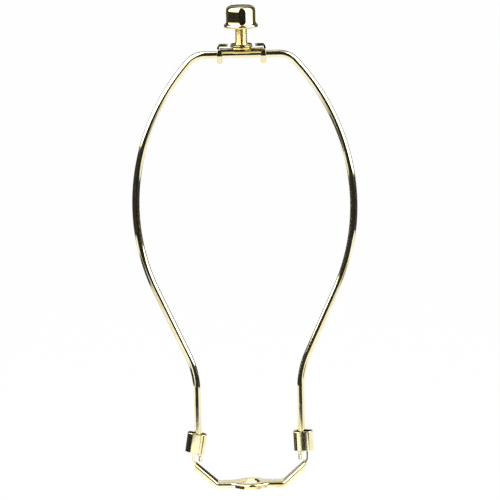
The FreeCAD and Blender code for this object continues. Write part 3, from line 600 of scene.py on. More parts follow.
FINISHES = (
    BrassPlate(Slot.WIRE, (0.98, 0.93, 0.70), (0.92, 0.82, 0.46), polish=0.05, haze=0.06),
    BrassPlate(Slot.STRIP, (0.96, 0.87, 0.55), (0.90, 0.76, 0.36), polish=0.06, haze=0.08,
               grains_along=420.0),
    BrassPlate(Slot.SLEEVE, (0.97, 0.90, 0.64), (0.91, 0.79, 0.40), polish=0.06, haze=0.07),
    BrassPlate(Slot.STAMPING, (0.96, 0.88, 0.58), (0.89, 0.75, 0.36), polish=0.06, haze=0.08,
               grains_along=600.0),
    BrassPlate(Slot.TURNED, (0.95, 0.83, 0.46), (0.87, 0.70, 0.27), polish=0.06, haze=0.07,
               grains_across=160.0, grains_along=2800.0),
    BrassPlate(Slot.SHELL, (0.96, 0.86, 0.50), (0.88, 0.74, 0.30), polish=0.03, haze=0.04,
               grains_across=120.0, grains_along=1800.0, relief=0.0015),
)


class Workshop:
    """Holds the finishes and puts each piece in its place on its body."""

    def __init__(self) -> None:
        """Builds the shared node groups and the six materials."""
        shared = {"plate_drift": plate_drift_group(), "polish_marks": polish_marks_group()}
        self.materials = {finish.slot: finish.material(shared) for finish in FINISHES}

    def dress(self, piece: bpy.types.Object, slot: Slot, body: Body, node: str) -> None:
        """Gives a piece its finish, stands it in for its solid and lets it ride on its body.

        Args:
            piece: The finished piece.
            slot: The record's slot that its finish comes from.
            body: The rigid body that carries it.
            node: The solid that it replaces.
        """
        piece.data.materials.append(self.materials[slot])
        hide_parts(node)
        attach(piece, body.value)
        LOG.info("%s: %d faces, %s, on %s", piece.name, len(piece.data.polygons), slot.value, body.value)


# Sub-assemblies

@dataclass
class Loop:
    """The wire loop: a straight top, two bows, two legs and two flattened feet."""

    radius: float = 1.95
    top: float = 229.75
    top_half: float = 19.5
    shoulder: float = 11.4
    widest: float = 57.25
    widest_up: float = 149.7
    bow: float = 108.6
    taper: float = 24.4
    waist: float = 48.0
    leg: float = 27.5
    leg_end: float = 17.5
    foot_top: float = 15.9
    foot_end: float = 12.6
    foot_shift: float = 1.0
    foot_half_thick: float = 0.95
    foot_half_wide: float = 3.0
    foot_edge: float = 0.5
    straight_share: float = 0.999

    def axis(self) -> Array:
        """Gives the wire's axis from the middle of the top down one side.

        A short bend leads into an upper bow, whose radius makes it touch the bend and the widest place, then
        a lower bow, a straight that leans by the taper angle, a reverse bend that touches it, and the leg.
        The straight stops a thousandth short, so that the reverse bend starts at a station of its own.

        Returns:
            Array of stations by 2, in X and Z.
        """
        rise = self.top - self.shoulder - self.widest_up
        inset = self.widest - self.top_half
        upper = (inset ** 2 + rise ** 2 - self.shoulder ** 2) / (2 * (inset - self.shoulder))
        centre = self.widest - upper
        lean = np.degrees(np.arctan2(rise, self.top_half - centre))
        slope = np.radians(self.taper)
        low_centre = self.widest - self.bow
        start = np.array([low_centre + self.bow * np.cos(slope), self.widest_up - self.bow * np.sin(slope)])
        across = self.leg + self.waist
        up = start[1] + ((across - start[0]) * np.cos(slope) - self.waist) / np.sin(slope)
        end = np.array([across - self.waist * np.cos(slope), up + self.waist * np.sin(slope)])
        return joined(
            line_points(np.linspace(0, self.top_half, 12), self.top),
            arc_points((self.top_half, self.top - self.shoulder), self.shoulder, 90, lean, 20),
            arc_points((centre, self.widest_up), upper, lean, 0, 60),
            arc_points((low_centre, self.widest_up), self.bow, 0, -self.taper, 40),
            np.linspace(start, start + self.straight_share * (end - start), 14),
            arc_points((across, up), self.waist, 180 - self.taper, 180, 24),
            np.linspace((self.leg, up), (self.leg, self.leg_end), 18),
            self.foot_line(),
        )

    def foot_line(self) -> Array:
        """Gives the foot's stations, straight on down the leg's line to the rounded end.

        Returns:
            Array of stations by 2, in X and Z.
        """
        return line_points(self.leg, np.concatenate([
            np.linspace(self.leg_end, self.foot_top, 12),
            np.linspace(self.foot_top, self.foot_end + self.foot_edge, 8),
            towards_tip(self.foot_end, self.foot_edge, 6)]))

    def pinch(self, axis: Array) -> Array:
        """Gives each station's pinch, which grows evenly from 0 at the leg's end to 1 at the foot's top."""
        return np.clip((self.leg_end - axis[:, 1]) / (self.leg_end - self.foot_top), 0, 1)

    def sections(self, axis: Array, around: int = 40) -> Array:
        """Gives the wire's section at each station: a circle that turns into a flat with round ends.

        A point is the circle's point times one less the pinch, plus the flat's point times the pinch, and
        the end's rounded edge draws every point in.

        Args:
            axis: The wire's axis.
            around: How many points the section has.

        Returns:
            Array of stations by points by 2.
        """
        angle = np.radians((np.arange(around) + 0.5) * 360 / around)
        turn = np.stack([np.cos(angle), np.sin(angle)], axis=1)
        flat = turn * self.foot_half_thick
        flat[:, 1] += np.sign(turn[:, 1]) * (self.foot_half_wide - self.foot_half_thick)
        pinch = self.pinch(axis)[:, None, None]
        draw_in = end_inset(axis[:, 1] - self.foot_end, self.foot_edge)[:, None, None]
        return (self.radius * turn) * (1 - pinch) + (flat - turn * draw_in) * pinch

    def build(self, shop: Workshop) -> None:
        """Makes the loop: one half is carried along its axis and joined to its mirror image.

        Each station also moves towards the middle by the foot's shift times its pinch.

        Args:
            shop: The workshop that dresses the pieces.
        """
        axis = self.axis()
        half = carry(axis, self.sections(axis))
        half[..., 0] -= self.foot_shift * self.pinch(axis)[:, None]
        half[0, :, 0] = 0.0
        whole = np.concatenate([half[:0:-1] * (-1, 1, 1), half])
        shop.dress(make_piece("harp_loop", [[closed_bar(whole)]]), Slot.WIRE, Body.HARP, "harp_wire")


@dataclass
class Saddle:
    """The pressed strip: a ring seat, two rising arms with turned-down edges and two flat prongs."""

    sheet: float = 1.0
    hole: float = 5.15
    ring: float = 8.998
    blend: float = 6.0
    arm_half: float = 4.5
    tip_half: float = 3.7
    flange: float = 2.6
    flange_corner: float = 1.7
    bend: float = 1.2
    fold_across: float = 17.3
    fold: float = 1.4
    rise_degrees: float = 42.0
    prong_inner: float = 29.75
    prong_bend: float = 3.5
    prong_half: float = 2.3
    prong_top: float = 24.56
    prong_root: float = 1.9
    prong_round: float = 0.8
    edge: float = 0.14
    close_set: float = 10.4
    crowding: float = 1.6

    def bend_up(self) -> float:
        """Gives the height of the prong's bend centre, from which the arm is a tangent.

        Returns:
            The height, in Z.
        """
        rise = np.radians(self.rise_degrees)
        run = self.prong_inner - self.prong_bend - self.fold_across
        return self.sheet + (self.prong_bend + np.sin(rise) * run) / np.cos(rise)

    def tip(self) -> Array:
        """Gives the end of the arm's upper face, where the prong's bend starts.

        Returns:
            The place, in X and Z.
        """
        rise = np.radians(self.rise_degrees)
        return np.array([self.prong_inner - self.prong_bend + self.prong_bend * np.sin(rise),
                         self.bend_up() - self.prong_bend * np.cos(rise)])

    def web_line(self) -> Array:
        """Gives the line of the web's upper face from the middle out, close-set where its outline curves.

        Returns:
            Array of points by 2, in X and Z.
        """
        start = self.fold_across - self.fold * np.tan(np.radians(self.rise_degrees) / 2)
        level = np.concatenate([self.hole * np.sin(np.radians(np.linspace(0, 90, 26))),
                                np.linspace(self.hole, self.close_set, 18)[1:],
                                np.linspace(self.close_set, start, 8)[1:]])
        fold = arc_points((start, self.sheet + self.fold), self.fold, -90, -90 + self.rise_degrees, 8)
        step = 1 - (1 - np.linspace(0, 1, 30)) ** self.crowding
        arm = fold[-1] + (self.tip() - fold[-1]) * step[:, None]
        return joined(line_points(level, self.sheet), fold, arm)

    def half_width(self, across: Array, inset: Array | float) -> Array:
        """Gives the outline's distance from the centre line: ring, blend, and an arm that narrows evenly.

        Args:
            across: Distance from the middle, in X.
            inset: How far the outline is drawn in.

        Returns:
            The half width, in Y.
        """
        end = self.tip()[0] + self.flange * np.sin(np.radians(self.rise_degrees))
        narrow = np.clip((across - self.fold_across) / (end - self.fold_across), 0, 1)
        arm = self.arm_half + (self.tip_half - self.arm_half) * narrow - inset
        return round_to_arm(across, self.ring, self.blend, self.arm_half, arm, inset)

    def strip(self) -> list[Surface]:
        """Makes the strip without its prongs.

        Down one side of the centre line, the upper face runs out to the bend, round it and down the edge;
        the lower face follows it one sheet inside. Each point lies below the web's line by its depth, and its
        distance from the centre line is the outline's, drawn in by its inset. A quarter of the strip is made
        so, and three mirror images complete it.

        Returns:
            The strip's surfaces.
        """
        line = self.web_line()
        normal = path_normals(line)
        normal[line[:, 0] < self.fold_across - 2 * self.fold] = (0.0, 1.0)
        lowest = self.flange - end_inset(np.linalg.norm(line - line[-1], axis=1), self.flange_corner)
        turn = np.radians(np.linspace(0, 90, 8))
        web = np.array([0.0, 0.35, 0.7, 0.97, 1.0])
        drop = np.array([0.04, 0.5, 0.9, 1.0])
        faces = []
        for inside in (0.0, self.sheet):
            bend = self.bend - inside
            inset = np.concatenate([0 * web, inside + bend * (1 - np.sin(turn)), 0 * drop + inside])
            depth = np.concatenate([0 * web + inside, inside + bend * (1 - np.cos(turn))])
            down = np.hstack([np.broadcast_to(depth, (len(line), len(depth))),
                              self.bend + (lowest[:, None] - self.bend) * drop])
            across = line[:, :1] - normal[:, :1] * down
            wide = self.half_width(across, inset)
            level = across[:, :len(web)]
            start = np.sqrt(np.maximum(self.hole ** 2 - level ** 2, 0))
            wide[:, :len(web)] = start + (self.half_width(level, self.bend) - start) * web
            faces.append(np.stack([across, wide, line[:, 1:] - normal[:, 1:] * down], axis=-1))
        in_hole = line[:, 0] <= self.hole + 1e-9
        surfaces = []
        for flip in np.array([[1, 1, 1], [1, -1, 1], [-1, 1, 1], [-1, -1, 1]]):
            parts = sheet_with_edges(faces[0] * flip, faces[1] * flip, in_hole)
            if np.prod(flip) < 0:
                parts = [Surface(part.points, part.faces[:, ::-1], part.marks[:, ::-1]) for part in parts]
            surfaces += parts
        return surfaces

    def prong(self, side: Side) -> list[Surface]:
        """Makes one prong: a bar that leaves the arm, bends upright and ends square with eased corners.

        Args:
            side: The side of the harp.

        Returns:
            The closed prong.
        """
        rise = np.radians(self.rise_degrees)
        centre = (self.prong_inner - self.prong_bend, self.bend_up())
        middle = self.prong_bend + self.sheet / 2
        tip = np.array([centre[0] + middle * np.sin(rise), centre[1] - middle * np.cos(rise)])
        root = tip - self.prong_root * np.array([np.cos(rise), np.sin(rise)])
        rounding = self.prong_top - self.prong_round
        upright = np.concatenate([np.linspace(centre[1], rounding, 6),
                                  np.linspace(rounding, self.prong_top - self.edge, 8)[1:],
                                  towards_tip(self.prong_top, -self.edge, 4)[1:]])
        path = joined(np.linspace(root, tip, 3), arc_points(centre, middle, -90 + self.rise_degrees, 0, 14),
                      line_points(self.prong_inner + self.sheet / 2, upright))
        wide = self.prong_half - end_inset(self.prong_top - path[:, 1], self.prong_round)
        made = carry(path, flat_bar_section(self.sheet / 2, wide, self.edge))
        return [closed_bar(made * (side.value, 1, 1))]

    def build(self, shop: Workshop) -> None:
        """Makes the saddle."""
        piece = make_piece("saddle_strip", [self.strip()] + [self.prong(side) for side in Side])
        shop.dress(piece, Slot.STRIP, Body.SADDLE, "saddle")


@dataclass
class Sleeve:
    """One locking sleeve: a drawn oval tube with rolled ends that leans a little on its leg."""

    side: Side
    shift: float
    tilt: float
    low: float
    leg: float = 27.5
    half_wide: float = 5.2
    half_deep: float = 3.65
    height: float = 10.6
    wall: float = 0.8
    corner: float = 3.1
    outer_lip: float = 0.38
    inner_lip: float = 0.3

    def build(self, shop: Workshop) -> None:
        """Makes the sleeve.

        The outline is a corner centre plus the corner radius, less an inset, times the direction round the
        corner. The wall's section gives the inset and the height. The whole is then leant about Y.

        Args:
            shop: The workshop that dresses the pieces.
        """
        quarter = np.radians(np.linspace(0, 90, 15))
        turn = np.concatenate([quarter + np.radians(90 * number) for number in range(4)])
        signs = np.repeat(np.array([[1, 1], [-1, 1], [-1, -1], [1, -1]]), len(quarter), axis=0)
        centres = signs * (self.half_wide - self.corner, self.half_deep - self.corner)
        half = self.height / 2
        wall = rounded([[0, -half], [self.wall, -half], [self.wall, half], [0, half]],
                       [self.outer_lip, self.inner_lip, self.inner_lip, self.outer_lip])
        wall = np.concatenate([wall, wall[:1]])
        heading = np.stack([np.cos(turn), np.sin(turn)], axis=1)
        flat = centres + heading * (self.corner - wall[:, 0])[:, None, None]
        tilt = np.radians(self.tilt)
        lean = -tilt * self.side.value
        rise = self.low + half * np.cos(tilt) + self.half_wide * np.sin(tilt)
        points = np.stack([flat[..., 0] * np.cos(lean) + wall[:, 1:] * np.sin(lean), flat[..., 1],
                           wall[:, 1:] * np.cos(lean) - flat[..., 0] * np.sin(lean)], axis=-1)
        points += (self.side.value * (self.leg + self.shift), 0.0, rise)
        side = self.side.name.lower()
        piece = make_piece(f"sleeve_{side}", [[grid_surface(points, wrap=True)]])
        shop.dress(piece, Slot.SLEEVE, Body(f"ferrule_{side}"), f"ferrule_{side}")


@dataclass
class ShadeRest:
    """The stamping that clasps the wire's top: a plate with a raised middle, curled ends and four claws."""

    under: float = 231.75
    sheet: float = 1.2
    lobe: float = 5.65
    blend: float = 1.5
    arm_half: float = 3.2
    boss: float = 5.1
    boss_rise: float = 0.75
    crown: float = 0.22
    room: float = 3.9
    pivot: float = 2.25
    curl_top: float = 235.3
    half_length: float = 12.8
    tongue_half: float = 1.7
    tongue_tip: float = 7.1
    tip_round: float = 1.1
    claw_far: float = 12.7
    claw_wide: float = 2.6
    claw_inner: float = 2.0
    claw_end: float = 225.2
    claw_round: float = 1.2
    claw_kink: float = 229.4
    claw_lean: float = 15.0
    boss_ease: float = 0.35
    curl_root: float = 1.6
    claw_root: float = 0.9
    root_length: float = 0.3
    claw_bend: float = 0.9
    kink_length: float = 0.4
    edge: float = 0.16

    def curl_radius(self) -> float:
        """Gives the curled end's outer radius, half the height that it stands over the plate's underside."""
        return (self.curl_top - self.under) / 2

    def plate(self) -> list[Surface]:
        """Makes the plate round its pivot hole.

        Each spoke runs from the hole to the outline, and each point's height is the plate's plus the rise
        times a smooth step of its distance from the middle. The upper face falls by the crown times the
        square of its share of the arm's half width.

        Returns:
            The plate's surfaces.
        """
        rim = self.outline(self.half_length - self.curl_radius())
        hole = rim / np.linalg.norm(rim, axis=1, keepdims=True) * self.pivot
        step = np.concatenate([[0.0, 0.03], np.linspace(0.08, 0.96, 22), [0.985, 1.0]])[:, None, None]
        flat = hole + (rim - hole) * step
        distance = np.linalg.norm(flat, axis=-1)
        fall = np.clip(np.abs(flat[..., 1]) / self.arm_half, 0, 1) ** 2
        faces = []
        for base, wide, crown in ((self.under + self.sheet, self.boss, self.crown),
                                  (self.under, self.room, 0.0)):
            ease = np.clip((wide + self.boss_ease - distance) / (2 * self.boss_ease), 0, 1)
            height = base + self.boss_rise * ease * ease * (3 - 2 * ease) - crown * fall
            faces.append(np.concatenate([flat, height[..., None]], axis=-1))
        upper, lower = faces
        bands = (upper, lower[::-1], np.stack([upper[-1], lower[-1]]), np.stack([lower[0], upper[0]]))
        return [grid_surface(band, wrap=True) for band in bands]

    def outline(self, end: float) -> Array:
        """Gives the plate's outline as points, anticlockwise from the right end.

        Args:
            end: Distance from the middle to the plate's end.

        Returns:
            Array of points by 2.
        """
        centre = np.sqrt((self.lobe + self.blend) ** 2 - (self.arm_half + self.blend) ** 2)
        across = np.concatenate([np.linspace(end, centre, 10)[1:], np.linspace(centre, 0, 44)[1:]])
        quarter = np.concatenate([
            line_points(end, np.linspace(0, self.arm_half, 6)),
            line_points(across, round_to_arm(across, self.lobe, self.blend, self.arm_half, self.arm_half))])
        upper = np.concatenate([quarter, quarter[-2::-1] * (-1, 1)])
        return np.concatenate([upper, upper[-2:0:-1] * (1, -1)])

    def curl(self, side: Side) -> list[Surface]:
        """Makes one curled end: a bar that leaves the plate, turns over and runs back to a rounded tip.

        Args:
            side: The side of the harp.

        Returns:
            The closed curl.
        """
        radius = self.curl_radius()
        across = self.half_length - radius
        low, high = self.under + self.sheet / 2, self.curl_top - self.sheet / 2
        back = np.concatenate([np.linspace(across, self.tongue_tip + self.tip_round, 6),
                               towards_tip(self.tongue_tip, self.tip_round, 8)[1:]])
        path = joined(np.linspace((across - self.curl_root, low), (across, low), 4),
                      arc_points((across, (low + high) / 2), radius - self.sheet / 2, -90, 90, 20),
                      line_points(back, high))
        on_tongue = path[:, 1] > (low + high) / 2
        inset = np.where(on_tongue, end_inset(path[:, 0] - self.tongue_tip, self.tip_round), 0)
        made = carry(path, flat_bar_section(self.sheet / 2, self.tongue_half - inset, self.edge))
        return [closed_bar(made * (side.value, 1, 1))]

    def claw(self, side: Side, depth: int) -> list[Surface]:
        """Makes one claw: a bar that leaves the plate's edge, bends down past the wire and leans in under it.

        Args:
            side: The side of the harp.
            depth: 1 for the back claw, -1 for the front one.

        Returns:
            The closed claw.
        """
        middle_y = self.claw_inner + self.sheet / 2
        bend, kink = self.claw_bend, self.kink_length / 2
        high = self.under + self.sheet / 2
        down = np.concatenate([np.linspace(high - bend, self.claw_kink + kink, 5),
                               np.linspace(self.claw_kink - kink, self.claw_end + self.claw_round, 6),
                               towards_tip(self.claw_end, self.claw_round, 8)[1:]])
        inwards = np.tan(np.radians(self.claw_lean)) * np.maximum(self.claw_kink - down, 0)
        path = joined(line_points(np.array([self.claw_root, self.claw_root + self.root_length]), high),
                      arc_points((middle_y - bend, high - bend), bend, 90, 0, 10),
                      line_points(middle_y - inwards, down))
        rounding = end_inset(path[:, 1] - self.claw_end, self.claw_round)
        wide = self.claw_wide / 2 - np.where(path[:, 1] < high - bend, rounding, 0)
        made = carry(path, flat_bar_section(self.sheet / 2, wide, self.edge), plane=(1, 2))
        made[..., 0] += self.claw_far - self.claw_wide / 2
        return [closed_bar(made * (side.value, depth, 1))]

    def build(self, shop: Workshop) -> None:
        """Makes the shade rest.

        Args:
            shop: The workshop that dresses the pieces.
        """
        parts = [self.plate()] + [self.curl(side) for side in Side]
        parts += [self.claw(side, depth) for side in Side for depth in (1, -1)]
        piece = make_piece("shade_clasp", parts)
        ease = piece.modifiers.new("eased_edges", "BEVEL")
        ease.width = self.edge * MM
        ease.segments = 2
        ease.limit_method = "ANGLE"
        ease.angle_limit = np.radians(50)
        ease.harden_normals = True
        shop.dress(piece, Slot.STAMPING, Body.HARP, "shade_rest")


@dataclass
class Swivel:
    """The washer and the stud: a riveted neck, a round flange and a post with two lengths of thread."""

    rivet_under: float = 231.85
    rivet: float = 3.3
    rivet_top: float = 232.45
    neck: float = 2.2
    flange_under: float = 234.6
    flange: float = 5.6
    flange_top: float = 235.3
    collar: float = 3.5
    collar_height: float = 0.6
    crest: float = 3.175
    pitch: float = 25.4 / 27
    groove: float = 0.34
    relief: float = 2.7
    relief_under: float = 243.3
    relief_top: float = 243.9
    top: float = 247.2
    chamfer: float = 0.5
    thread_fade: float = 0.5
    washer_inner: float = 2.3
    washer: float = 5.9
    washer_under: float = 233.75
    washer_top: float = 234.55
    around: int = 72

    def thread(self, start: float, end: float) -> Surface:
        """Makes one length of thread.

        Rows follow the helix: a point's height is its row's share of a pitch plus its angle's, and its radius
        is the crest less the groove times a folded ramp of that share. The groove fades at both ends.

        Args:
            start: The height at which it starts.
            end: The height at which it ends.

        Returns:
            The thread's surface, open at both ends.
        """
        share = np.array([0.0, 0.10, 0.18, 0.34, 0.5, 0.58, 0.66, 0.82, 0.92])
        turns = np.arange(-1, np.ceil((end - start) / self.pitch) + 1)
        rows = (turns[:, None] + share).ravel()
        depth = np.interp(share, [0, 0.18, 0.34, 0.5, 0.58, 0.82, 0.92], [0, 0, 0.5, 1, 1, 0.2, 0])
        angle = np.linspace(0, 1, self.around + 1)
        height = start + self.pitch * (rows[:, None] + angle)
        fade = np.clip(np.minimum(height - start, end - height) / self.thread_fade, 0, 1)
        height = np.clip(height, start, end)
        radius = self.crest - self.groove * np.tile(depth, len(turns))[:, None] * fade
        turn = 2 * np.pi * angle
        return grid_surface(np.stack([radius * np.cos(turn), radius * np.sin(turn), height], axis=-1))

    def stud(self) -> list[Surface]:
        """Makes the stud: its foot, relief groove and tip are turned, and two lengths of thread join them.

        Returns:
            The stud's surfaces.
        """
        start, end = self.flange_top + self.collar_height, self.top - self.chamfer
        foot = rounded([[0, self.rivet_under], [self.rivet, self.rivet_under], [self.rivet, self.rivet_top],
                        [self.neck, self.rivet_top], [self.neck, self.flange_under],
                        [self.flange, self.flange_under], [self.flange, self.flange_top],
                        [self.collar, self.flange_top], [self.crest, start]],
                       [0, 0.25, 0.1, 0, 0, 0.05, 0.06, 0.1, 0], steps=4, closed=False)
        relief = np.array([[self.crest, self.relief_under], [self.relief, self.relief_under],
                           [self.relief, self.relief_top], [self.crest, self.relief_top]])
        tip = np.array([[self.crest, end], [self.crest - self.chamfer, self.top], [0, self.top]])
        return [turned(part, self.around) for part in (foot, relief, tip)] + [
            self.thread(start, self.relief_under), self.thread(self.relief_top, end)]

    def build(self, shop: Workshop) -> None:
        """Makes the washer and the stud.

        Args:
            shop: The workshop that dresses the pieces.
        """
        edge = rounded([[self.washer_inner, self.washer_under], [self.washer, self.washer_under],
                        [self.washer, self.washer_top], [self.washer_inner, self.washer_top]],
                       [0.08, 0.09, 0.09, 0.08], steps=4)
        shop.dress(make_piece("swivel_washer", [ring(edge)]), Slot.STAMPING, Body.HARP, "stud_washer")
        stud = make_piece("threaded_stud", [self.stud()], crease_degrees=50)
        shop.dress(stud, Slot.TURNED, Body.STUD, "swivel_stud")


@dataclass
class Finial:
    """The cap that screws down on the shade: a round-topped shell with a rolled lip, and its threaded hub."""

    low: float = 243.8
    height: float = 11.6
    barrel: float = 7.8
    lip: float = 8.998
    lip_roll: float = 1.0
    flare: float = 2.0
    top_round: float = 2.9
    crown: float = 0.25
    wall: float = 0.9
    bead: float = 0.25
    guard: float = 0.05
    inner_guard: float = 0.02
    press_gap: float = 0.03
    hub: float = 4.6
    bore: float = 3.225
    hub_inset: float = 0.5
    head: float = 1.4
    hub_top: float = 252.47
    around: int = 144
    hub_around: int = 72

    def shell_profile(self) -> Array:
        """Gives the shell's half section from its crown down the outside, round the lip and up the inside.

        The lip's circle and the flare's touch where the line between their centres meets both, and the crown
        is a shallow parabola.

        Returns:
            Array of points by 2, radius and height.
        """
        lip_across = self.lip - self.lip_roll
        run = self.barrel + self.flare - lip_across
        reach = self.flare + self.lip_roll
        meet = np.degrees(np.arccos(run / reach))
        flare_up = self.low + self.lip_roll + reach * np.sin(np.radians(meet))
        top = self.low + self.height
        flat = self.barrel - self.top_round
        across = np.linspace(0, flat, 9)
        inner = self.barrel - self.wall
        return joined(
            line_points(across, top + self.crown * (1 - (across / flat) ** 2)),
            arc_points((flat, top - self.top_round), self.top_round, 90, 0, 14)[1:],
            np.array([[self.barrel, top - self.top_round - self.guard],
                      [self.barrel, flare_up + self.guard]]),
            arc_points((self.barrel + self.flare, flare_up), self.flare, 180, 180 + meet, 10),
            arc_points((lip_across, self.low + self.lip_roll), self.lip_roll, meet, -90, 18),
            np.array([[inner + self.bead + self.guard, self.low]]),
            arc_points((inner + self.bead, self.low + self.bead), self.bead, 270, 180, 4),
            np.array([[inner, top - self.top_round - self.inner_guard]]),
            arc_points((flat, top - self.top_round), self.top_round - self.wall, 0, 90, 10),
            np.array([[0.0, top - self.wall]]),
        )

    def build(self, shop: Workshop) -> None:
        """Makes the shell and the hub.

        Args:
            shop: The workshop that dresses the pieces.
        """
        shell = make_piece("finial_shell", [[turned(self.shell_profile(), self.around)]])
        shop.dress(shell, Slot.SHELL, Body.FINIAL, "finial_cap")
        head_under = self.hub_top - self.head
        head = self.barrel - self.wall - self.press_gap
        hub_low = self.low + self.hub_inset
        hub = rounded([[self.bore, hub_low], [self.hub, hub_low], [self.hub, head_under], [head, head_under],
                       [head, self.hub_top], [self.bore, self.hub_top]],
                      [0.35, 0.3, 0.2, 0.15, 0.15, 0.15], steps=4)
        inside = make_piece("finial_hub", [ring(hub, self.hub_around)])
        shop.dress(inside, Slot.TURNED, Body.FINIAL, "finial_nut")


# Setting

def toward(heading: Array | float, height: Array | float) -> Array:
    """Gives the unit direction at a heading to the right of the camera's side and a height, in radians."""
    level = np.cos(height)
    return np.stack([np.sin(heading) * level, -np.cos(heading) * level, np.sin(height)], axis=-1)


def seen_or_mirrored(tree: bpy.types.NodeTree) -> bpy.types.NodeSocket:
    """Adds a mask that is 1 for rays from the camera, off a gloss or through glass, and 0 for the rest.

    Args:
        tree: The tree that it is added to.

    Returns:
        The mask's output.
    """
    rays = add_node(tree, "LightPath", {})
    seen = add_node(tree, "Math", {0: rays["Is Camera Ray"], 1: rays["Is Glossy Ray"]}, operation="MAXIMUM")
    return add_node(tree, "Math", {0: seen[0], 1: rays["Is Transmission Ray"]}, operation="MAXIMUM")[0]


@dataclass(frozen=True)
class Card:
    """A dark card: its name, its headings and heights from first to last, in degrees, and its grey."""

    name: str
    heading: tuple[float, float]
    height: tuple[float, float]
    tone: float


@dataclass(frozen=True)
class Lamp:
    """A soft lamp: name, heading and height in degrees, width and height in metres, level (1 is white)."""

    name: str
    heading: float
    height: float
    size: tuple[float, float]
    level: float


CARDS = (
    Card("card_front", (-14, 38), (-12, 88), 0.012),
    Card("card_low", (-60, 40), (-19.9, -12), 0.012),
    Card("card_spot", (0.6, 6.0), (-22.5, -18.8), 0.012),
    Card("card_under_left", (-150, -46), (-30.5, -20.9), 0.02),
    Card("card_under_right", (45, 72), (-30, -23.2), 0.02),
    Card("card_left", (-110, -14), (-15.5, 11), 0.02),
    Card("card_right", (38, 105), (-15.5, 1.3), 0.02),
    Card("card_left_far", (-150, -110), (-15.5, 88), 0.04),
    Card("card_right_far", (105, 150), (-15.5, 88), 0.04),
    Card("card_back_low", (150, 180), (-12, -2), 0.02),
    Card("card_back_left", (180, 210), (-12, -2), 0.22),
    Card("card_back_middle", (150, 210), (-2, 10), 0.42),
    Card("card_back", (150, 210), (10, 19), 0.015),
    Card("card_back_high", (150, 210), (19, 66), 0.16),
)

LAMPS = (
    Lamp("lamp_left", -62, 50, (1.9, 1.5), 2.4),
    Lamp("lamp_right", 70, 28, (1.05, 1.5), 2.4),
    Lamp("lamp_low", -10, -20, (1.9, 0.16), 0.3),
)


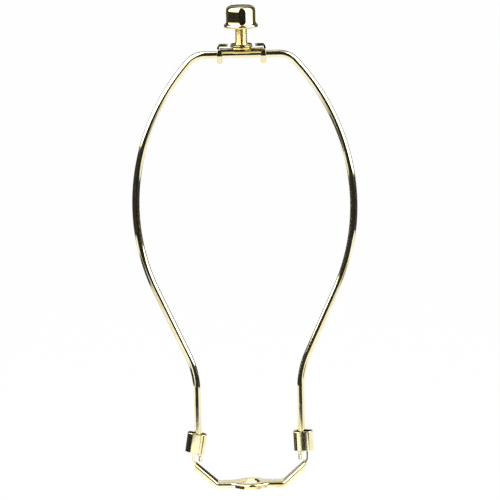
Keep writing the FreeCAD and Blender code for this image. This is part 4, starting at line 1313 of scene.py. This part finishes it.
@dataclass
class Studio:
    """The floor, the cards and lamps that the metal mirrors, and the camera. Lengths are in metres.

    white_share is how much of the floor's own look its plain white covers, and soft_white the world's level
    where it only lights.
    """

    eye_across: float = 0.0022
    eye_away: float = 1.866
    eye_height: float = 0.4617
    down: float = 10.2
    lean: float = 1.25
    lens: float = 259.2
    middle: float = 0.13
    card_distance: float = 0.80
    lamp_distance: float = 0.90
    floor_reach: float = 6.0
    floor_level: float = -0.30
    white_share: float = 0.97
    soft_white: float = 0.7

    def hang_card(self, card: Card) -> None:
        """Hangs a card that only reflections see, as a patch of a globe round the harp's middle.

        Args:
            card: The card.
        """
        heading, height = np.meshgrid(np.radians(np.linspace(*card.heading, 25)),
                                      np.radians(np.linspace(*card.height, 17)))
        surface = grid_surface(toward(heading, height) * self.card_distance + (0, 0, self.middle))
        mesh = bpy.data.meshes.new(card.name)
        mesh.from_pydata(surface.points.tolist(), [], surface.faces.tolist())
        grey = (card.tone, card.tone, card.tone, 1.0)
        mesh.materials.append(new_material(card.name, {
            "Base Color": grey, "Roughness": 1.0, "Specular IOR Level": 0.0}))
        made = put_in_scene(card.name, mesh)
        made.visible_camera = False
        made.visible_diffuse = False
        made.visible_shadow = False
        made.visible_transmission = False

    def hang_lamp(self, lamp: Lamp) -> None:
        """Hangs a lamp that faces the harp's middle, with the power that gives its face its level.

        Args:
            lamp: The lamp.
        """
        data = bpy.data.lights.new(lamp.name, "AREA")
        data.shape = "RECTANGLE"
        data.size, data.size_y = lamp.size
        data.energy = lamp.level * np.pi * lamp.size[0] * lamp.size[1]
        made = put_in_scene(lamp.name, data)
        heading, height = np.radians(lamp.heading), np.radians(lamp.height)
        made.location = toward(heading, height) * self.lamp_distance + (0, 0, self.middle)
        made.rotation_euler = (np.pi / 2 - height, 0, heading)
        made.visible_camera = False

    def floor(self) -> None:
        """Lays a pale floor, well below, that stays white behind the harp and keeps its shadow."""
        data = bpy.data.meshes.new("floor")
        corners = np.array([(-1, -1, 0), (1, -1, 0), (1, 1, 0), (-1, 1, 0)]) * self.floor_reach
        data.from_pydata((corners + (0, 0, self.floor_level)).tolist(), [], [(0, 1, 2, 3)])
        made = new_material("pale_floor", {
            "Base Color": (0.93, 0.93, 0.92, 1.0), "Roughness": 0.9, "Specular IOR Level": 0.1})
        tree = made.node_tree
        share = add_node(tree, "Math", {0: seen_or_mirrored(tree), 1: self.white_share}, operation="MULTIPLY")
        matt = tree.nodes["Principled BSDF"].outputs["BSDF"]
        white = add_node(tree, "Emission", {})
        mix = add_node(tree, "MixShader", {"Fac": share[0], 1: matt, 2: white["Emission"]})
        feed(tree, tree.nodes["Material Output"], {"Surface": mix["Shader"]})
        data.materials.append(made)
        put_in_scene("floor", data)

    def sky(self) -> None:
        """Fills the world with white where it is seen or mirrored, and with a softer white elsewhere."""
        world = bpy.data.worlds.new("white_room")
        bpy.context.scene.world = world
        world.use_nodes = True
        tree = world.node_tree
        level = add_node(tree, "MapRange", {
            "To Min": self.soft_white, "To Max": 1.0, "Value": seen_or_mirrored(tree)})
        feed(tree, tree.nodes["Background"], {"Strength": level["Result"], "Color": (1.0, 1.0, 1.0, 1.0)})

    def camera(self) -> None:
        """Sets the camera at the photograph's angle.

        It leans about its own line of sight and then tips up by the tilt. The three angles are those of both
        turns together, about X, then Y, then Z.
        """
        data = bpy.data.cameras.new("camera")
        data.sensor_width = 36.0
        data.lens = self.lens
        data.clip_end = 30.0
        camera = put_in_scene("camera", data)
        camera.location = (self.eye_across, -self.eye_away, self.eye_height)
        tilt, lean = np.pi / 2 - np.radians(self.down), np.radians(-self.lean)
        camera.rotation_euler = (np.arctan2(np.sin(tilt) * np.cos(lean), np.cos(tilt)),
                                 -np.arcsin(np.sin(tilt) * np.sin(lean)),
                                 np.arctan2(np.cos(tilt) * np.sin(lean), np.cos(lean)))
        bpy.context.scene.camera = camera

    def build(self) -> None:
        """Sets up the whole studio."""
        bpy.context.scene.view_settings.view_transform = "Standard"
        self.camera()
        self.floor()
        self.sky()
        for card in CARDS:
            self.hang_card(card)
        for lamp in LAMPS:
            self.hang_lamp(lamp)
        LOG.info("studio is set")


def main() -> None:
    """Builds the harp and its setting."""
    logging.basicConfig(level=logging.INFO, format="%(name)s: %(message)s")
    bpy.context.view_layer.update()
    shop = Workshop()
    Loop().build(shop)
    Saddle().build(shop)
    Sleeve(Side.LEFT, shift=1.25, tilt=9.5, low=16.55).build(shop)
    Sleeve(Side.RIGHT, shift=0.85, tilt=2.0, low=17.15).build(shop)
    ShadeRest().build(shop)
    Swivel().build(shop)
    Finial().build(shop)
    Studio().build()


if __name__ == "__main__":
    main()
